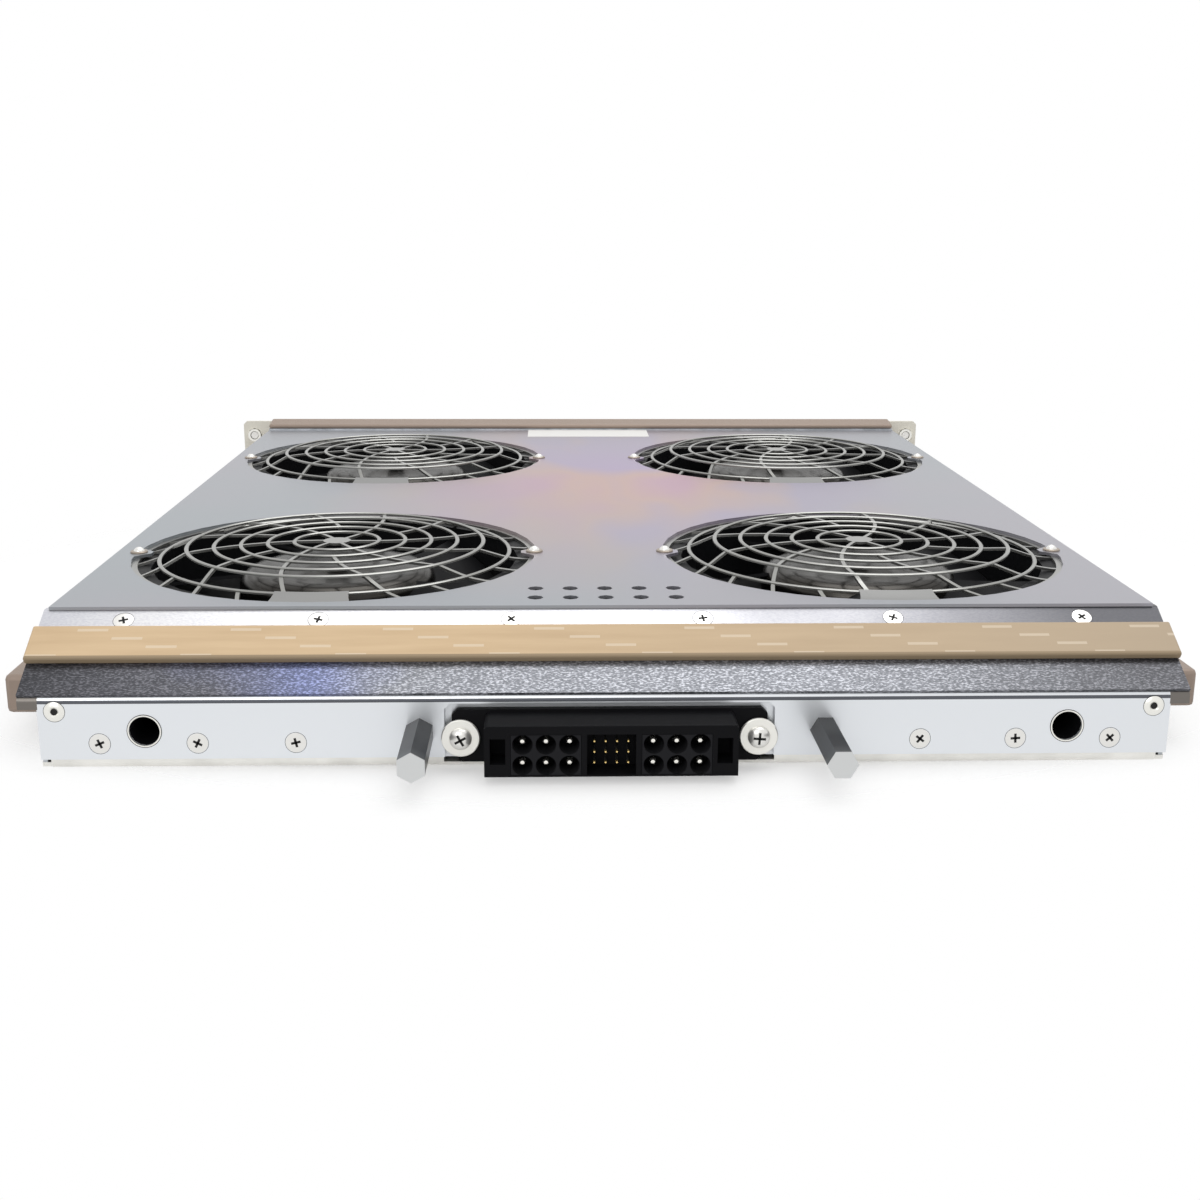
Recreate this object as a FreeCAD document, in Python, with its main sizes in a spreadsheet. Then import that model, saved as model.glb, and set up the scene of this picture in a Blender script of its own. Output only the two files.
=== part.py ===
"""Rack fan tray: a shallow sheet-metal tray with four round fans that hangs in a chassis.

Frame, in millimetres: X runs across the tray, Y from the rear connector end to the front panel,
Z up. The origin is the middle of the tray's underside.
"""
import FreeCAD, Part
import math
import os

Vector = FreeCAD.Vector
doc = FreeCAD.newDocument("rack_fan_tray")

# ---------------------------------------------------------------- driving sizes
SIZES = {
    # tray
    "tray_width": 396.3, "tray_depth": 484.0, "tray_height": 48.5,
    "pan_sheet": 1.5, "cover_sheet": 1.2, "rear_sheet": 1.2, "bend_radius": 1.5,
    "rear_step": 4.65, "rear_taper": 18.0, "side_flange": 12.0, "pan_lip": 6.0, "front_lip": 8.0,
    # fans and their guards
    "fan_from_side": 90.15, "fan_from_end": 122.0, "fan_width": 172.0, "fan_flat": 150.0,
    "fan_thickness": 38.0, "fan_bore_radius": 73.5, "fan_screw_pitch": 162.0, "fan_hole_radius": 2.3,
    "fan_plate": 3.0, "inlet_radius": 76.0, "opening_past_screws": 0.5, "lobe_radius": 5.5,
    "guard_sheet": 1.2, "guard_rise": 5.5, "guard_bar": 1.7, "guard_hub_radius": 6.5,
    "guard_ring_first": 17.2, "guard_ring_step": 21.4, "guard_skirt": 10.7, "guard_tab": 8.5, "rib_curve_radius": 77.0,
    "rib_phase": 238.4, "rotor_radius": 40.0, "rotor_wall": 3.5, "rotor_depth": 29.0,
    "blade_tip_radius": 71.3, "blade_thickness": 1.6, "blade_rise": 23.0, "blade_bow": 1.5,
    "blade_drop": 17.1, "shaft_radius": 3.0, "bearing_radius": 6.0, "motor_radius": 34.0,
    "running_gap": 0.05,
    # vent holes in the cover
    "vent_pitch_across": 12.9, "vent_pitch_along": 13.6, "vent_radius": 2.75, "vent_from_edge": 11.4,
    # sloping gasket bracket at the rear
    "slope_angle": 30.0, "slope_length": 40.0, "slope_over": 1.85, "bracket_flange": 3.0,
    "slope_room": 2.5, "gasket_width": 16.0, "gasket_thickness": 2.8, "gasket_over": 0.75,
    "gasket_from_top": 9.8,
    # rear wall features
    "wall_top": 24.0, "wall_bottom": 4.0, "cutout_room": 2.5, "cutout_bottom": 1.8,
    "cutout_top": 23.3, "guide_from_edge": 35.5, "guide_height": 14.0, "guide_hole_radius": 5.25,
    "guide_bore_radius": 5.05, "guide_block_width": 46.0, "guide_block_tall": 17.0,
    "guide_block_deep": 14.0,
    "post_left_room": 8.5, "post_right_room": 17.5, "post_height": 13.0, "post_flats": 9.0, "post_length": 34.0,
    # screws
    "screw_head_radius": 3.7, "screw_shank_radius": 2.0, "screw_clearance": 0.1,
    # connector
    "connector_height": 11.3, "connector_body_width": 85.0, "connector_body_tall": 17.8,
    "connector_reach": 15.0, "connector_ear": 11.5, "connector_flange_thick": 2.7,
    "connector_float": 1.0, "connector_gap": 0.3, "connector_screw_room": 8.5,
    "key_from_edge": 4.5, "key_width": 5.2, "key_tall": 9.0,
    "bushing_radius": 3.2, "washer_radius": 6.9, "washer_thickness": 1.2, "plate_thickness": 1.5,
    "power_pin_radius": 1.1, "power_pin_pitch": 7.9, "power_pin_rows": 7.5, "power_pin_middle": 21.9,
    "signal_pin_radius": 0.45, "signal_pin_pitch": 3.8, "pin_recess": 3.0, "socket_depth": 10.0,
    # side gaskets
    "side_gasket_width": 13.0, "side_gasket_tall": 14.0, "side_gasket_bottom": 13.6,
    # front
    "ear_width": 18.6, "panel_height": 52.3, "panel_thickness": 2.5, "panel_corner": 2.0,
    "angle_sheet": 1.0, "angle_depth": 14.0, "angle_drop": 4.0, "bar_near_height": 2.5,
    "bar_far_height": 4.7, "captive_from_edge": 6.75, "captive_low": 8.9, "captive_high": 43.4,
    "captive_travel": 6.0, "captive_tip": 1.4, "ferrule_radius": 4.7, "ferrule_length": 7.0,
    "captive_shank": 2.5, "knob_radius": 7.0, "handle_from_side": 48.15, "handle_pitch": 32.0,
    "handle_reach": 34.0, "handle_bar": 4.0, "handle_width": 10.0,
    # board and label
    "board_over": 12.5, "board_depth": 33.0, "board_height": 6.0, "board_thickness": 1.6,
    "label_middle": 3.0, "label_width": 75.0, "label_depth": 28.0, "label_thickness": 0.2,
}

sheet = doc.addObject("Spreadsheet::Sheet", "Sizes")
for row, (alias, value) in enumerate(SIZES.items(), start=1):
    sheet.set(f"A{row}", alias)
    sheet.set(f"B{row}", str(value))
    sheet.setAlias(f"B{row}", alias)
doc.recompute()


def size(alias):
    """One driving size, read back from the sheet."""
    return float(getattr(sheet, alias))


def expression(text):
    """An expression in which @alias stands for a cell of the sheet."""
    return text.replace("@", "Sizes.")


# ---------------------------------------------------------------- helpers: primitives
NODES = {}


def keep(item, node):
    """Register a finished sub-part under its node name."""
    item.Label = node
    NODES[node] = item
    return item


def bind(item, **formulas):
    """Bind properties to the sheet; a double underscore in a name stands for a dot."""
    for path, formula in formulas.items():
        item.setExpression(path.replace("__", "."), expression(formula))
    return item


def move_to(item, x, y, z):
    """Bind an item's base point."""
    return bind(item, Placement__Base__x=x, Placement__Base__y=y, Placement__Base__z=z)


def block(name, x, y, z):
    """A box between pairs of low and high formulas."""
    item = doc.addObject("Part::Box", name)
    bind(item, Length=f"({x[1]}) - ({x[0]})", Width=f"({y[1]}) - ({y[0]})", Height=f"({z[1]}) - ({z[0]})")
    return move_to(item, x[0], y[0], z[0])


TURNS = {
    "+Z": FreeCAD.Rotation(),
    "-Z": FreeCAD.Rotation(Vector(1, 0, 0), 180),
    "+Y": FreeCAD.Rotation(Vector(1, 0, 0), -90),
    "-Y": FreeCAD.Rotation(Vector(1, 0, 0), 90),
}


def rod(name, radius, length, x, y, z, way="+Z", sides=8):
    """A round bar with a few flat sides, from a base point along one axis."""
    item = doc.addObject("Part::Prism", name)
    item.Polygon = sides
    item.Placement = FreeCAD.Placement(Vector(), TURNS[way])
    bind(item, Circumradius=radius, Height=length)
    return move_to(item, x, y, z)


def join(name, *pieces):
    """One fused item, or a group of separate solids where they don't touch."""
    item = doc.addObject("Part::MultiFuse", name)
    item.Shapes = list(pieces)
    item.Refine = False
    return item


def cut(name, base, *tools):
    """Base less the tools."""
    item = doc.addObject("Part::Cut", name)
    item.Base = base
    item.Tool = tools[0] if len(tools) == 1 else join(name + "_tools", *tools)
    return item


def group(node, *pieces):
    """Separate identical solids that share one node."""
    item = doc.addObject("Part::Compound", node)
    item.Links = list(pieces)
    return keep(item, node)


# ---------------------------------------------------------------- helpers: outlines
def unit(start, end):
    """Direction from one point to another."""
    length = math.hypot(end[0] - start[0], end[1] - start[1])
    return ((end[0] - start[0]) / length, (end[1] - start[1]) / length)


def corner_arc(before, corner, after, radius):
    """The tangent arc that rounds a corner, with its two ends."""
    d1, d2 = unit(before, corner), unit(corner, after)
    turn = math.atan2(d1[0] * d2[1] - d1[1] * d2[0], d1[0] * d2[0] + d1[1] * d2[1])
    reach = radius * math.tan(abs(turn) / 2)
    start = Vector(corner[0] - d1[0] * reach, corner[1] - d1[1] * reach, 0)
    end = Vector(corner[0] + d2[0] * reach, corner[1] + d2[1] * reach, 0)
    side = math.copysign(1, turn)
    centre = start + Vector(-d1[1] * side, d1[0] * side, 0) * radius
    outward = Vector(corner[0], corner[1], 0) - centre
    middle = centre + outward.normalize() * radius
    return start, middle, end


def run_edges(points, radii):
    """Edges along an open path whose inner corners are rounded."""
    edges, at = [], Vector(points[0][0], points[0][1], 0)
    for before, corner, after, radius in zip(points, points[1:], points[2:], radii):
        start, middle, end = corner_arc(before, corner, after, radius)
        edges += [Part.LineSegment(at, start), Part.Arc(start, middle, end)]
        at = end
    edges.append(Part.LineSegment(at, Vector(points[-1][0], points[-1][1], 0)))
    return edges


def folded(path, thickness, radius):
    """Outline of folded sheet metal: the path is one face, the metal lies on its left."""
    ways = [unit(a, b) for a, b in zip(path, path[1:])]
    normals = [(-way[1], way[0]) for way in ways]
    other, near_radii, far_radii = [], [], []
    for index, point in enumerate(path):
        n1 = normals[max(index - 1, 0)]
        n2 = normals[min(index, len(normals) - 1)]
        spread = 1 + n1[0] * n2[0] + n1[1] * n2[1]
        other.append((point[0] + (n1[0] + n2[0]) / spread * thickness,
                      point[1] + (n1[1] + n2[1]) / spread * thickness))
        if 0 < index < len(path) - 1:
            left_turn = ways[index - 1][0] * ways[index][1] - ways[index - 1][1] * ways[index][0] > 0
            near_radii.append(radius + thickness if left_turn else radius)
            far_radii.append(radius if left_turn else radius + thickness)
    near = run_edges(path, near_radii)
    far = run_edges(other[::-1], far_radii[::-1])
    corners = [Vector(p[0], p[1], 0) for p in (path[-1], other[-1], other[0], path[0])]
    return near + [Part.LineSegment(corners[0], corners[1])] + far + [Part.LineSegment(corners[2], corners[3])]


def mitred(path, thickness):
    """Corner points of sheet metal folded sharply: the path is one face, the metal lies on its left."""
    ways = [unit(a, b) for a, b in zip(path, path[1:])]
    normals = [(-way[1], way[0]) for way in ways]
    other = []
    for point, n1, n2 in zip(path, normals[:1] + normals, normals + normals[-1:]):
        spread = 1 + n1[0] * n2[0] + n1[1] * n2[1]
        other.append((point[0] + (n1[0] + n2[0]) / spread * thickness,
                      point[1] + (n1[1] + n2[1]) / spread * thickness))
    return list(path) + other[::-1]


def eased(path, radius):
    """The path with each inner corner replaced by two chords of its rounding."""
    out = [path[0]]
    for before, corner, after in zip(path, path[1:], path[2:]):
        out += [(v.x, v.y) for v in corner_arc(before, corner, after, radius)]
    return out + [path[-1]]


def polygon(points):
    """Closed polygon of straight edges."""
    vectors = [Vector(p[0], p[1], 0) for p in points]
    return [Part.LineSegment(a, b) for a, b in zip(vectors, vectors[1:] + vectors[:1])]


def rectangle(x0, x1, y0, y1):
    """Four edges of a rectangle."""
    return polygon([(x0, y0), (x1, y0), (x1, y1), (x0, y1)])


def circle(x, y, radius):
    """One full circle."""
    return [Part.Circle(Vector(x, y, 0), Vector(0, 0, 1), radius)]


def facets(x, y, radius, sides=8):
    """A round hole drawn with a few flat sides that touch the true circle."""
    corner = radius / math.cos(math.pi / sides)
    turns = [2 * math.pi * k / sides for k in range(sides)]
    return polygon([(x + corner * math.cos(t), y + corner * math.sin(t)) for t in turns])


def merged(groups):
    """The edges of several outlines in one list."""
    return [edge for group_ in groups for edge in group_]


# ---------------------------------------------------------------- helpers: bodies
def origin_plane(body, role):
    """One of a body's own origin planes."""
    return next(f for f in body.Origin.OriginFeatures if f.Role == role)


def new_body(name):
    """An empty body."""
    return doc.addObject("PartDesign::Body", name)


def draw(body, name, role, edges, level="0"):
    """A sketch on an origin plane, lifted to a level along the plane's own axis."""
    sketch = body.newObject("Sketcher::SketchObject", name)
    sketch.AttachmentSupport = [(origin_plane(body, role), "")]
    sketch.MapMode = "FlatFace"
    sketch.addGeometry(edges, False)
    sign = "-1 * " if role == "XZ_Plane" else ""
    sketch.setExpression(".AttachmentOffset.Base.z", expression(f"{sign}({level})"))
    return sketch


def pad(body, name, role, edges, low, high):
    """A pad between two levels of the plane's axis; XZ pads run from the high level down."""
    start = high if role == "XZ_Plane" else low
    feature = body.newObject("PartDesign::Pad", name)
    feature.Profile = draw(body, name + "_sketch", role, edges, start)
    bind(feature, Length=f"({high}) - ({low})")
    body.Tip = feature
    return feature


def pocket(body, name, role, edges, low=None, high=None):
    """A pocket through everything, or between two levels."""
    doc.recompute()
    before = body.Shape.Volume
    feature = body.newObject("PartDesign::Pocket", name)
    feature.Profile = draw(body, name + "_sketch", role, edges, low or "0")
    if low is None:
        feature.Type = "ThroughAll"
        feature.Midplane = True
    else:
        feature.Reversed = role != "XZ_Plane"
        bind(feature, Length=f"({high}) - ({low})")
    body.Tip = feature
    doc.recompute()
    if not body.Shape.Volume < before - 1e-3:
        raise RuntimeError(f"{name} cuts nothing")
    return feature


def turn_pattern(body, name, feature, count):
    """Copies of a feature about Z."""
    pattern = body.newObject("PartDesign::PolarPattern", name)
    pattern.Originals = [feature]
    axis = next(f for f in body.Origin.OriginFeatures if f.Role == "Z_Axis")
    pattern.Axis = (axis, [""])
    pattern.Angle = 360
    pattern.Occurrences = count
    body.Tip = pattern
    return pattern


# ---------------------------------------------------------------- shared places
half_width = size("tray_width") / 2
half_depth = size("tray_depth") / 2
rear_half = half_width - size("rear_step")
guide_middle = rear_half - size("guide_from_edge")
body_half = size("connector_body_width") / 2
flange_half = body_half + size("connector_ear")
cutout_half = flange_half + size("cutout_room")
screw_middle = body_half + size("connector_screw_room")
post_left, post_right = cutout_half + size("post_left_room"), cutout_half + size("post_right_room")
opening = size("fan_screw_pitch") / 2 + size("opening_past_screws")
panel_half = half_width + size("ear_width")
captive_middle = panel_half - size("captive_from_edge")
top = size("tray_height")
cover_under = top - size("cover_sheet")
slope = math.radians(size("slope_angle"))
slope_run = size("slope_length") * math.cos(slope)
slope_drop = size("slope_length") * math.sin(slope)
cover_edge = -half_depth + slope_run
slope_top = cover_under - 0.3
FAN_CENTRES = [(sx * (half_width - size("fan_from_side")), sy * (half_depth - size("fan_from_end")))
               for sy in (-1, 1) for sx in (-1, 1)]
REAR_HALF = "(@tray_width / 2 - @rear_step)"
SLOPE_HALF = "(@tray_width / 2 + @slope_over)"
CUTOUT_HALF = "(@connector_body_width / 2 + @connector_ear + @cutout_room)"
BOARD_HALF = "@connector_body_width / 2 + @board_over"
CAPTIVE_X = "(@tray_width / 2 + @ear_width - @captive_from_edge)"
COVER_UNDER = "@tray_height - @cover_sheet"
FAN_TOP = "@tray_height - @cover_sheet - @guard_sheet"
fan_top = cover_under - size("guard_sheet")
fan_bottom = fan_top - size("fan_thickness")
REAR = "-@tray_depth / 2"
REAR_INNER = "-@tray_depth / 2 + @rear_sheet"
LIP_INNER = "-@tray_depth / 2 + @rear_sheet + @pan_sheet"


def on_slope(distance, lift=0.0):
    """Y and Z of a point at a distance down the bracket's slope, lifted square to it."""
    y = cover_edge - distance * math.cos(slope) - lift * math.sin(slope)
    z = slope_top - distance * math.sin(slope) + lift * math.cos(slope)
    return (y, z)


# ---------------------------------------------------------------- tray sheet metal
def side_pair(spread, height, radius, sides=8):
    """Two holes, one each side of the middle."""
    return merged([facets(sign * spread, height, radius, sides) for sign in (-1, 1)])


def post_holes():
    """Holes for the studs of the hexagonal posts."""
    radius = size("screw_shank_radius") + 0.05
    return merged([facets(x, size("post_height"), radius, 6) for x in (-post_left, post_right)])


def make_bottom_pan():
    """Floor with a rounded rear lip, a front lip, fan inlets and a notch for the connector."""
    body = new_body("bottom_pan")
    metal, bend = size("pan_sheet"), size("bend_radius")
    inner = -half_depth + size("rear_sheet")
    rear_lip = folded([(inner, size("pan_lip")), (inner, 0), (inner + 9, 0)], metal, bend)
    pad(body, "pan_rear_lip", "YZ_Plane", rear_lip, f"3 - {REAR_HALF}", f"{REAR_HALF} - 3")
    taper = inner + size("rear_taper")
    shoulder = inner + metal + bend
    floor = [(half_width, half_depth), (-half_width, half_depth), (-half_width, taper),
             (-rear_half - 1, shoulder), (rear_half + 1, shoulder), (half_width, taper)]
    pad(body, "pan_floor", "XY_Plane", polygon(floor), "0", "@pan_sheet")
    lip = rectangle(-half_width + 6, half_width - 6, half_depth - metal, half_depth)
    pad(body, "pan_front_lip", "XY_Plane", lip, "0", "@front_lip")
    inlets = merged([facets(x, y, size("inlet_radius"), 24) for x, y in FAN_CENTRES])
    pocket(body, "pan_inlets", "XY_Plane", inlets)
    notch = cutout_half + 0.5
    pocket(body, "pan_connector_notch", "XZ_Plane",
           rectangle(-notch, notch, size("cutout_bottom"), size("pan_lip") + 5), REAR, f"{LIP_INNER} + 2")
    return keep(body, "bottom_pan")


def make_side_panel(side, name):
    """Side wall that tapers in at the rear and ends in a flange behind the rear wall."""
    body = new_body(name)
    metal = size("pan_sheet")
    inner = -half_depth + size("rear_sheet")
    path = [(side * half_width, half_depth - metal), (side * half_width, inner + size("rear_taper")),
            (side * rear_half, inner), (side * (rear_half - size("side_flange")), inner)]
    outline = mitred(path[::-side], metal)
    pad(body, name + "_wall", "XY_Plane", polygon(outline), "@pan_sheet", COVER_UNDER)
    # the upper edge follows the slope, clear of the rear panel's flange and its bends
    under = size("rear_sheet") / math.cos(slope) + size("slope_room")
    flange_end = cover_edge + size("bracket_flange") + 1.5
    foot = on_slope(size("slope_length") + 1)
    cut_away = [(flange_end, cover_under + 1), (flange_end, cover_under - size("rear_sheet") - 0.3),
                (cover_edge, on_slope(0)[1] - under), (foot[0], foot[1] - under),
                (-half_depth - 3, cover_under + 1)]
    pocket(body, name + "_slope", "YZ_Plane", polygon(cut_away))
    low_lip = rectangle(-half_depth, inner + metal + size("bend_radius") + 0.2, 0, size("pan_lip") + 0.3)
    pocket(body, name + "_lip_corner", "YZ_Plane", low_lip)
    return keep(body, name)


def make_rear_panel():
    """Rear wall whose top folds into a sloping flange that carries the gasket bracket."""
    body = new_body("rear_panel")
    metal = size("rear_sheet")
    # the flange's upper face touches the underside of the bracket
    top_end = on_slope(1.5, -metal)
    foot = on_slope(size("slope_length"), -metal)
    rise = (foot[0] + half_depth) * math.tan(slope)
    path = [top_end, (-half_depth, foot[1] - rise), (-half_depth, size("wall_top") - 2.2)]
    pad(body, "rear_flange", "YZ_Plane", folded(path, metal, size("bend_radius")),
        f"-{SLOPE_HALF}", SLOPE_HALF)
    wall = rectangle(-rear_half, rear_half, size("wall_bottom"), size("wall_top") - 2.2)
    pad(body, "rear_wall", "XZ_Plane", wall, REAR, REAR_INNER)
    low, high = size("wall_bottom") - 6, size("cutout_top")
    cutout = [(-cutout_half, low), (cutout_half, low), (cutout_half, high - 2), (cutout_half - 2, high),
              (-cutout_half + 2, high), (-cutout_half, high - 2)]
    pocket(body, "connector_cutout", "XZ_Plane", polygon(cutout), f"{REAR} - 1", f"{REAR_INNER} + 1")
    holes = side_pair(guide_middle, size("guide_height"), size("guide_hole_radius"), 16)
    pocket(body, "rear_wall_holes", "XZ_Plane", holes + post_holes(), f"{REAR} - 1", f"{REAR_INNER} + 1")
    return keep(body, "rear_panel")


def make_gasket_bracket():
    """Sloping strip: a short flange under the cover, then the plate that the gasket sits on."""
    body = new_body("gasket_bracket")
    flat = cover_edge + 0.3 / math.tan(slope)
    path = [(flat + size("bracket_flange"), cover_under), (flat, cover_under), on_slope(size("slope_length"))]
    pad(body, "bracket_plate", "YZ_Plane", folded(path, size("rear_sheet"), 0.6),
        f"-{SLOPE_HALF}", SLOPE_HALF)
    return keep(body, "gasket_bracket")


def make_rear_gasket():
    """Soft strip along the slope, with bevelled edges."""
    body = new_body("rear_gasket")
    near, far = size("gasket_from_top"), size("gasket_from_top") + size("gasket_width")
    thick, bevel = size("gasket_thickness"), 0.6
    corners = [on_slope(near), on_slope(far), on_slope(far, thick - bevel), on_slope(far - bevel, thick),
               on_slope(near + bevel, thick), on_slope(near, thick - bevel)]
    pad(body, "gasket_strip", "YZ_Plane", polygon(corners), f"-({SLOPE_HALF} + @gasket_over)",
        f"{SLOPE_HALF} + @gasket_over")
    return keep(body, "rear_gasket")


def make_top_cover():
    """Flat cover with four round openings, screw lobes and a block of vent holes."""
    body = new_body("top_cover")
    outline = rectangle(-half_width, half_width, cover_edge, half_depth - size("pan_sheet"))
    pad(body, "cover_plate", "XY_Plane", outline, COVER_UNDER, "@tray_height")
    openings = merged([facets(x, y, opening, 40) for x, y in FAN_CENTRES])
    pocket(body, "cover_openings", "XY_Plane", openings)
    screws = [(x + sx * size("fan_screw_pitch") / 2, y, sx) for x, y in FAN_CENTRES for sx in (-1, 1)]
    for k, (x, y, sx) in enumerate(screws):
        reach, wide = size("lobe_radius"), 1.9 * size("lobe_radius")
        lobe = [(x + 3 * sx, y - wide), (x + 3 * sx, y + wide), (x - 0.5 * reach * sx, y + 0.8 * reach),
                (x - reach * sx, y + 0.35 * reach), (x - reach * sx, y - 0.35 * reach),
                (x - 0.5 * reach * sx, y - 0.8 * reach)]
        pad(body, f"cover_lobe_{k}", "XY_Plane", polygon(lobe), COVER_UNDER, "@tray_height")
    holes = merged([facets(x, y, size("fan_hole_radius")) for x, y, sx in screws])
    first = cover_edge + size("vent_from_edge")
    holes += merged([facets((k - 2) * size("vent_pitch_across"), first + row * size("vent_pitch_along"),
                            size("vent_radius")) for k in range(5) for row in range(2)])
    pocket(body, "cover_holes", "XY_Plane", holes)
    return keep(body, "top_cover")


# ---------------------------------------------------------------- fans
RIBS_AT_HUB = 7
ring_radii = [size("guard_ring_first") + k * size("guard_ring_step") for k in range(3)]


def rib_angle(index, radius, spacing):
    """Where a curved rib crosses a radius: each rib is an arc that starts at the centre."""
    swing = math.asin(radius / (2 * size("rib_curve_radius")))
    return math.radians(size("rib_phase")) + index * spacing + swing


def guard_cell(inner, outer, index, spacing):
    """The opening between two rings and two neighbouring ribs."""
    bar = size("guard_bar") / 2
    corners = []
    for radius, step, side in ((inner + bar, 0, 1), (inner + bar, 1, -1), (outer - bar, 1, -1),
                               (outer - bar, 0, 1)):
        angle = rib_angle(index + step, radius, spacing) + side * bar / radius
        corners.append((radius * math.cos(angle), radius * math.sin(angle)))
    return polygon(corners)


def heptagon(radius):
    """Corners of the dome's outline at one radius."""
    turns = [2 * math.pi * k / RIBS_AT_HUB for k in range(RIBS_AT_HUB)]
    return [Vector(radius * math.cos(t), radius * math.sin(t), 0) for t in turns]


def pyramid_frustum(foot_radius, foot_level, head_radius, head_level):
    """A shallow frustum with one flat side for each rib at the hub."""
    foot = [v + Vector(0, 0, foot_level) for v in heptagon(foot_radius)]
    head = [v + Vector(0, 0, head_level) for v in heptagon(head_radius)]
    rings = (foot, head)
    faces = [Part.Face(Part.makePolygon(ring + ring[:1])) for ring in rings]
    for k in range(RIBS_AT_HUB):
        side = [foot[k - 1], foot[k], head[k], head[k - 1], foot[k - 1]]
        faces.append(Part.Face(Part.makePolygon(side)))
    return Part.makeSolid(Part.makeShell(faces))


def make_guard_dome():
    """The dome's sheet: a nearly flat crown on a steep skirt, hollow below."""
    edge, first = ring_radii[-1] + 1, ring_radii[0]
    skirt, thick = opening - 2, size("guard_sheet")
    foot, shoulder, crown = top + 0.5, top + size("guard_rise") - 0.9, top + size("guard_rise")
    levels = [(skirt, cover_under), (edge + size("guard_skirt"), foot), (edge, shoulder), (first, crown)]
    shells = []
    for drop in (0, thick):
        solids = [pyramid_frustum(low[0], low[1] - drop, high[0], high[1] - drop)
                  for low, high in zip(levels, levels[1:])]
        shells.append(solids[0].fuse(solids[1:]))
    outer, inner = shells
    below = [Vector(v.x, v.y, cover_under - thick) for v in heptagon(skirt)]
    foot = Part.Face(Part.makePolygon(below + below[:1])).extrude(Vector(0, 0, thick))
    dome = doc.addObject("Part::Feature", "guard_dome")
    dome.Shape = outer.fuse([foot]).cut(inner)
    return dome


def make_housing_master():
    """Fan frame: a round body cut flat on two sides, a bore and a spider that holds the motor."""
    body = new_body("housing_master")
    radius, flat = size("fan_width") / 2, size("fan_flat") / 2
    spread = math.asin(flat / radius)
    right = [(radius * math.cos(t), radius * math.sin(t)) for t in
             [-spread + 2 * spread * k / 8 for k in range(9)]]
    outline = right + [(-x, -y) for x, y in right]
    low, high = f"{FAN_TOP} - @fan_thickness", f"{FAN_TOP} - @fan_thickness + @fan_plate"
    pad(body, "housing_block", "XY_Plane", polygon(outline), low, FAN_TOP)
    holes = facets(0, 0, size("fan_bore_radius"), 24)
    holes += side_pair(size("fan_screw_pitch") / 2, 0, size("fan_hole_radius"))
    pocket(body, "housing_bore", "XY_Plane", holes)
    pad(body, "motor_plate", "XY_Plane", facets(0, 0, size("motor_radius") + 3, 16), low, high)
    strut = rectangle(size("motor_radius"), size("fan_bore_radius") + 1, -4, 4)
    arm = pad(body, "motor_strut", "XY_Plane", strut, low, high)
    turn_pattern(body, "motor_struts", arm, 4)
    return body


def make_motor_master():
    """Stator: a drum on the spider with a bore for the bearing."""
    body = new_body("motor_master")
    base = f"{FAN_TOP} - @fan_thickness + @fan_plate"
    drum = facets(0, 0, size("motor_radius"), 16)
    bore = facets(0, 0, size("bearing_radius") + size("running_gap"))
    pad(body, "motor_drum", "XY_Plane", drum + bore, base, f"{base} + 20")
    return body


def blade_corner(radius, share, lift):
    """One corner of a blade: share runs from -1 at the lower edge to 1 at the upper one."""
    sweep, lean, first = 0.42, 0.18, math.radians(20)
    out = (radius - size("rotor_radius")) / (size("blade_tip_radius") - size("rotor_radius"))
    turn = first + share * sweep + lean * max(out, 0)
    level = fan_top - size("blade_drop") + share * size("blade_rise") / 2
    level += size("blade_bow") * (1 - share * share) + lift
    return Vector(radius * math.cos(turn), radius * math.sin(turn), level)


def make_blade():
    """A swept blade whose pitch flattens towards the tip, in flat facets."""
    thick = size("blade_thickness") / 2
    radii, shares = (size("rotor_radius") - 1.5, size("blade_tip_radius")), (-1, 0, 1)
    upper, lower = [[[blade_corner(r, t, lift) for t in shares] for r in radii]
                    for lift in (thick, -thick)]
    loops = []
    for (root, tip) in (upper, lower):
        for k in range(2):
            loops += [[root[k], tip[k], tip[k + 1]], [root[k], tip[k + 1], root[k + 1]]]
    for k in range(2):
        for high, low in zip(upper, lower):
            loops.append([high[k], high[k + 1], low[k + 1], low[k]])
    for k in (0, -1):
        loops.append([upper[0][k], upper[1][k], lower[1][k], lower[0][k]])
    faces = [Part.Face(Part.makePolygon(loop + loop[:1])) for loop in loops]
    return Part.makeSolid(Part.makeShell(faces))


def make_impeller_master():
    """Rotor cup with its shaft and five blades."""
    body = new_body("rotor_body")
    cap, depth = f"{FAN_TOP} - 2.5", "@rotor_depth"
    cup = facets(0, 0, size("rotor_radius"), 20)
    pad(body, "rotor_cup", "XY_Plane", cup, f"{cap} - {depth}", cap)
    inside = facets(0, 0, size("rotor_radius") - size("rotor_wall"), 16)
    pocket(body, "rotor_hollow", "XY_Plane", inside, f"{cap} - {depth}", f"{cap} - @rotor_wall")
    shaft_end = f"{FAN_TOP} - @fan_thickness + @fan_plate + 3"
    shaft = facets(0, 0, size("shaft_radius") * math.cos(math.pi / 8))
    pad(body, "rotor_shaft", "XY_Plane", shaft, shaft_end, f"{cap} - @rotor_wall")
    blades = []
    for k in range(5):
        blade = doc.addObject("Part::Feature", f"blade_{k}")
        blade.Shape = make_blade()
        blade.Placement = FreeCAD.Placement(Vector(), FreeCAD.Rotation(Vector(0, 0, 1), 72 * k))
        blades.append(blade)
    return join("impeller_master", body, *blades)


def place_copies(master, stem):
    """Four copies of a fan piece, one at each fan's axis."""
    for count, (x, y) in enumerate(FAN_CENTRES, start=1):
        copy = doc.addObject("Part::Feature", f"{stem}_{count}")
        copy.Shape = master.Shape
        copy.Placement = FreeCAD.Placement(Vector(x, y, 0), FreeCAD.Rotation())
        keep(copy, f"{stem}_{count}")


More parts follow.
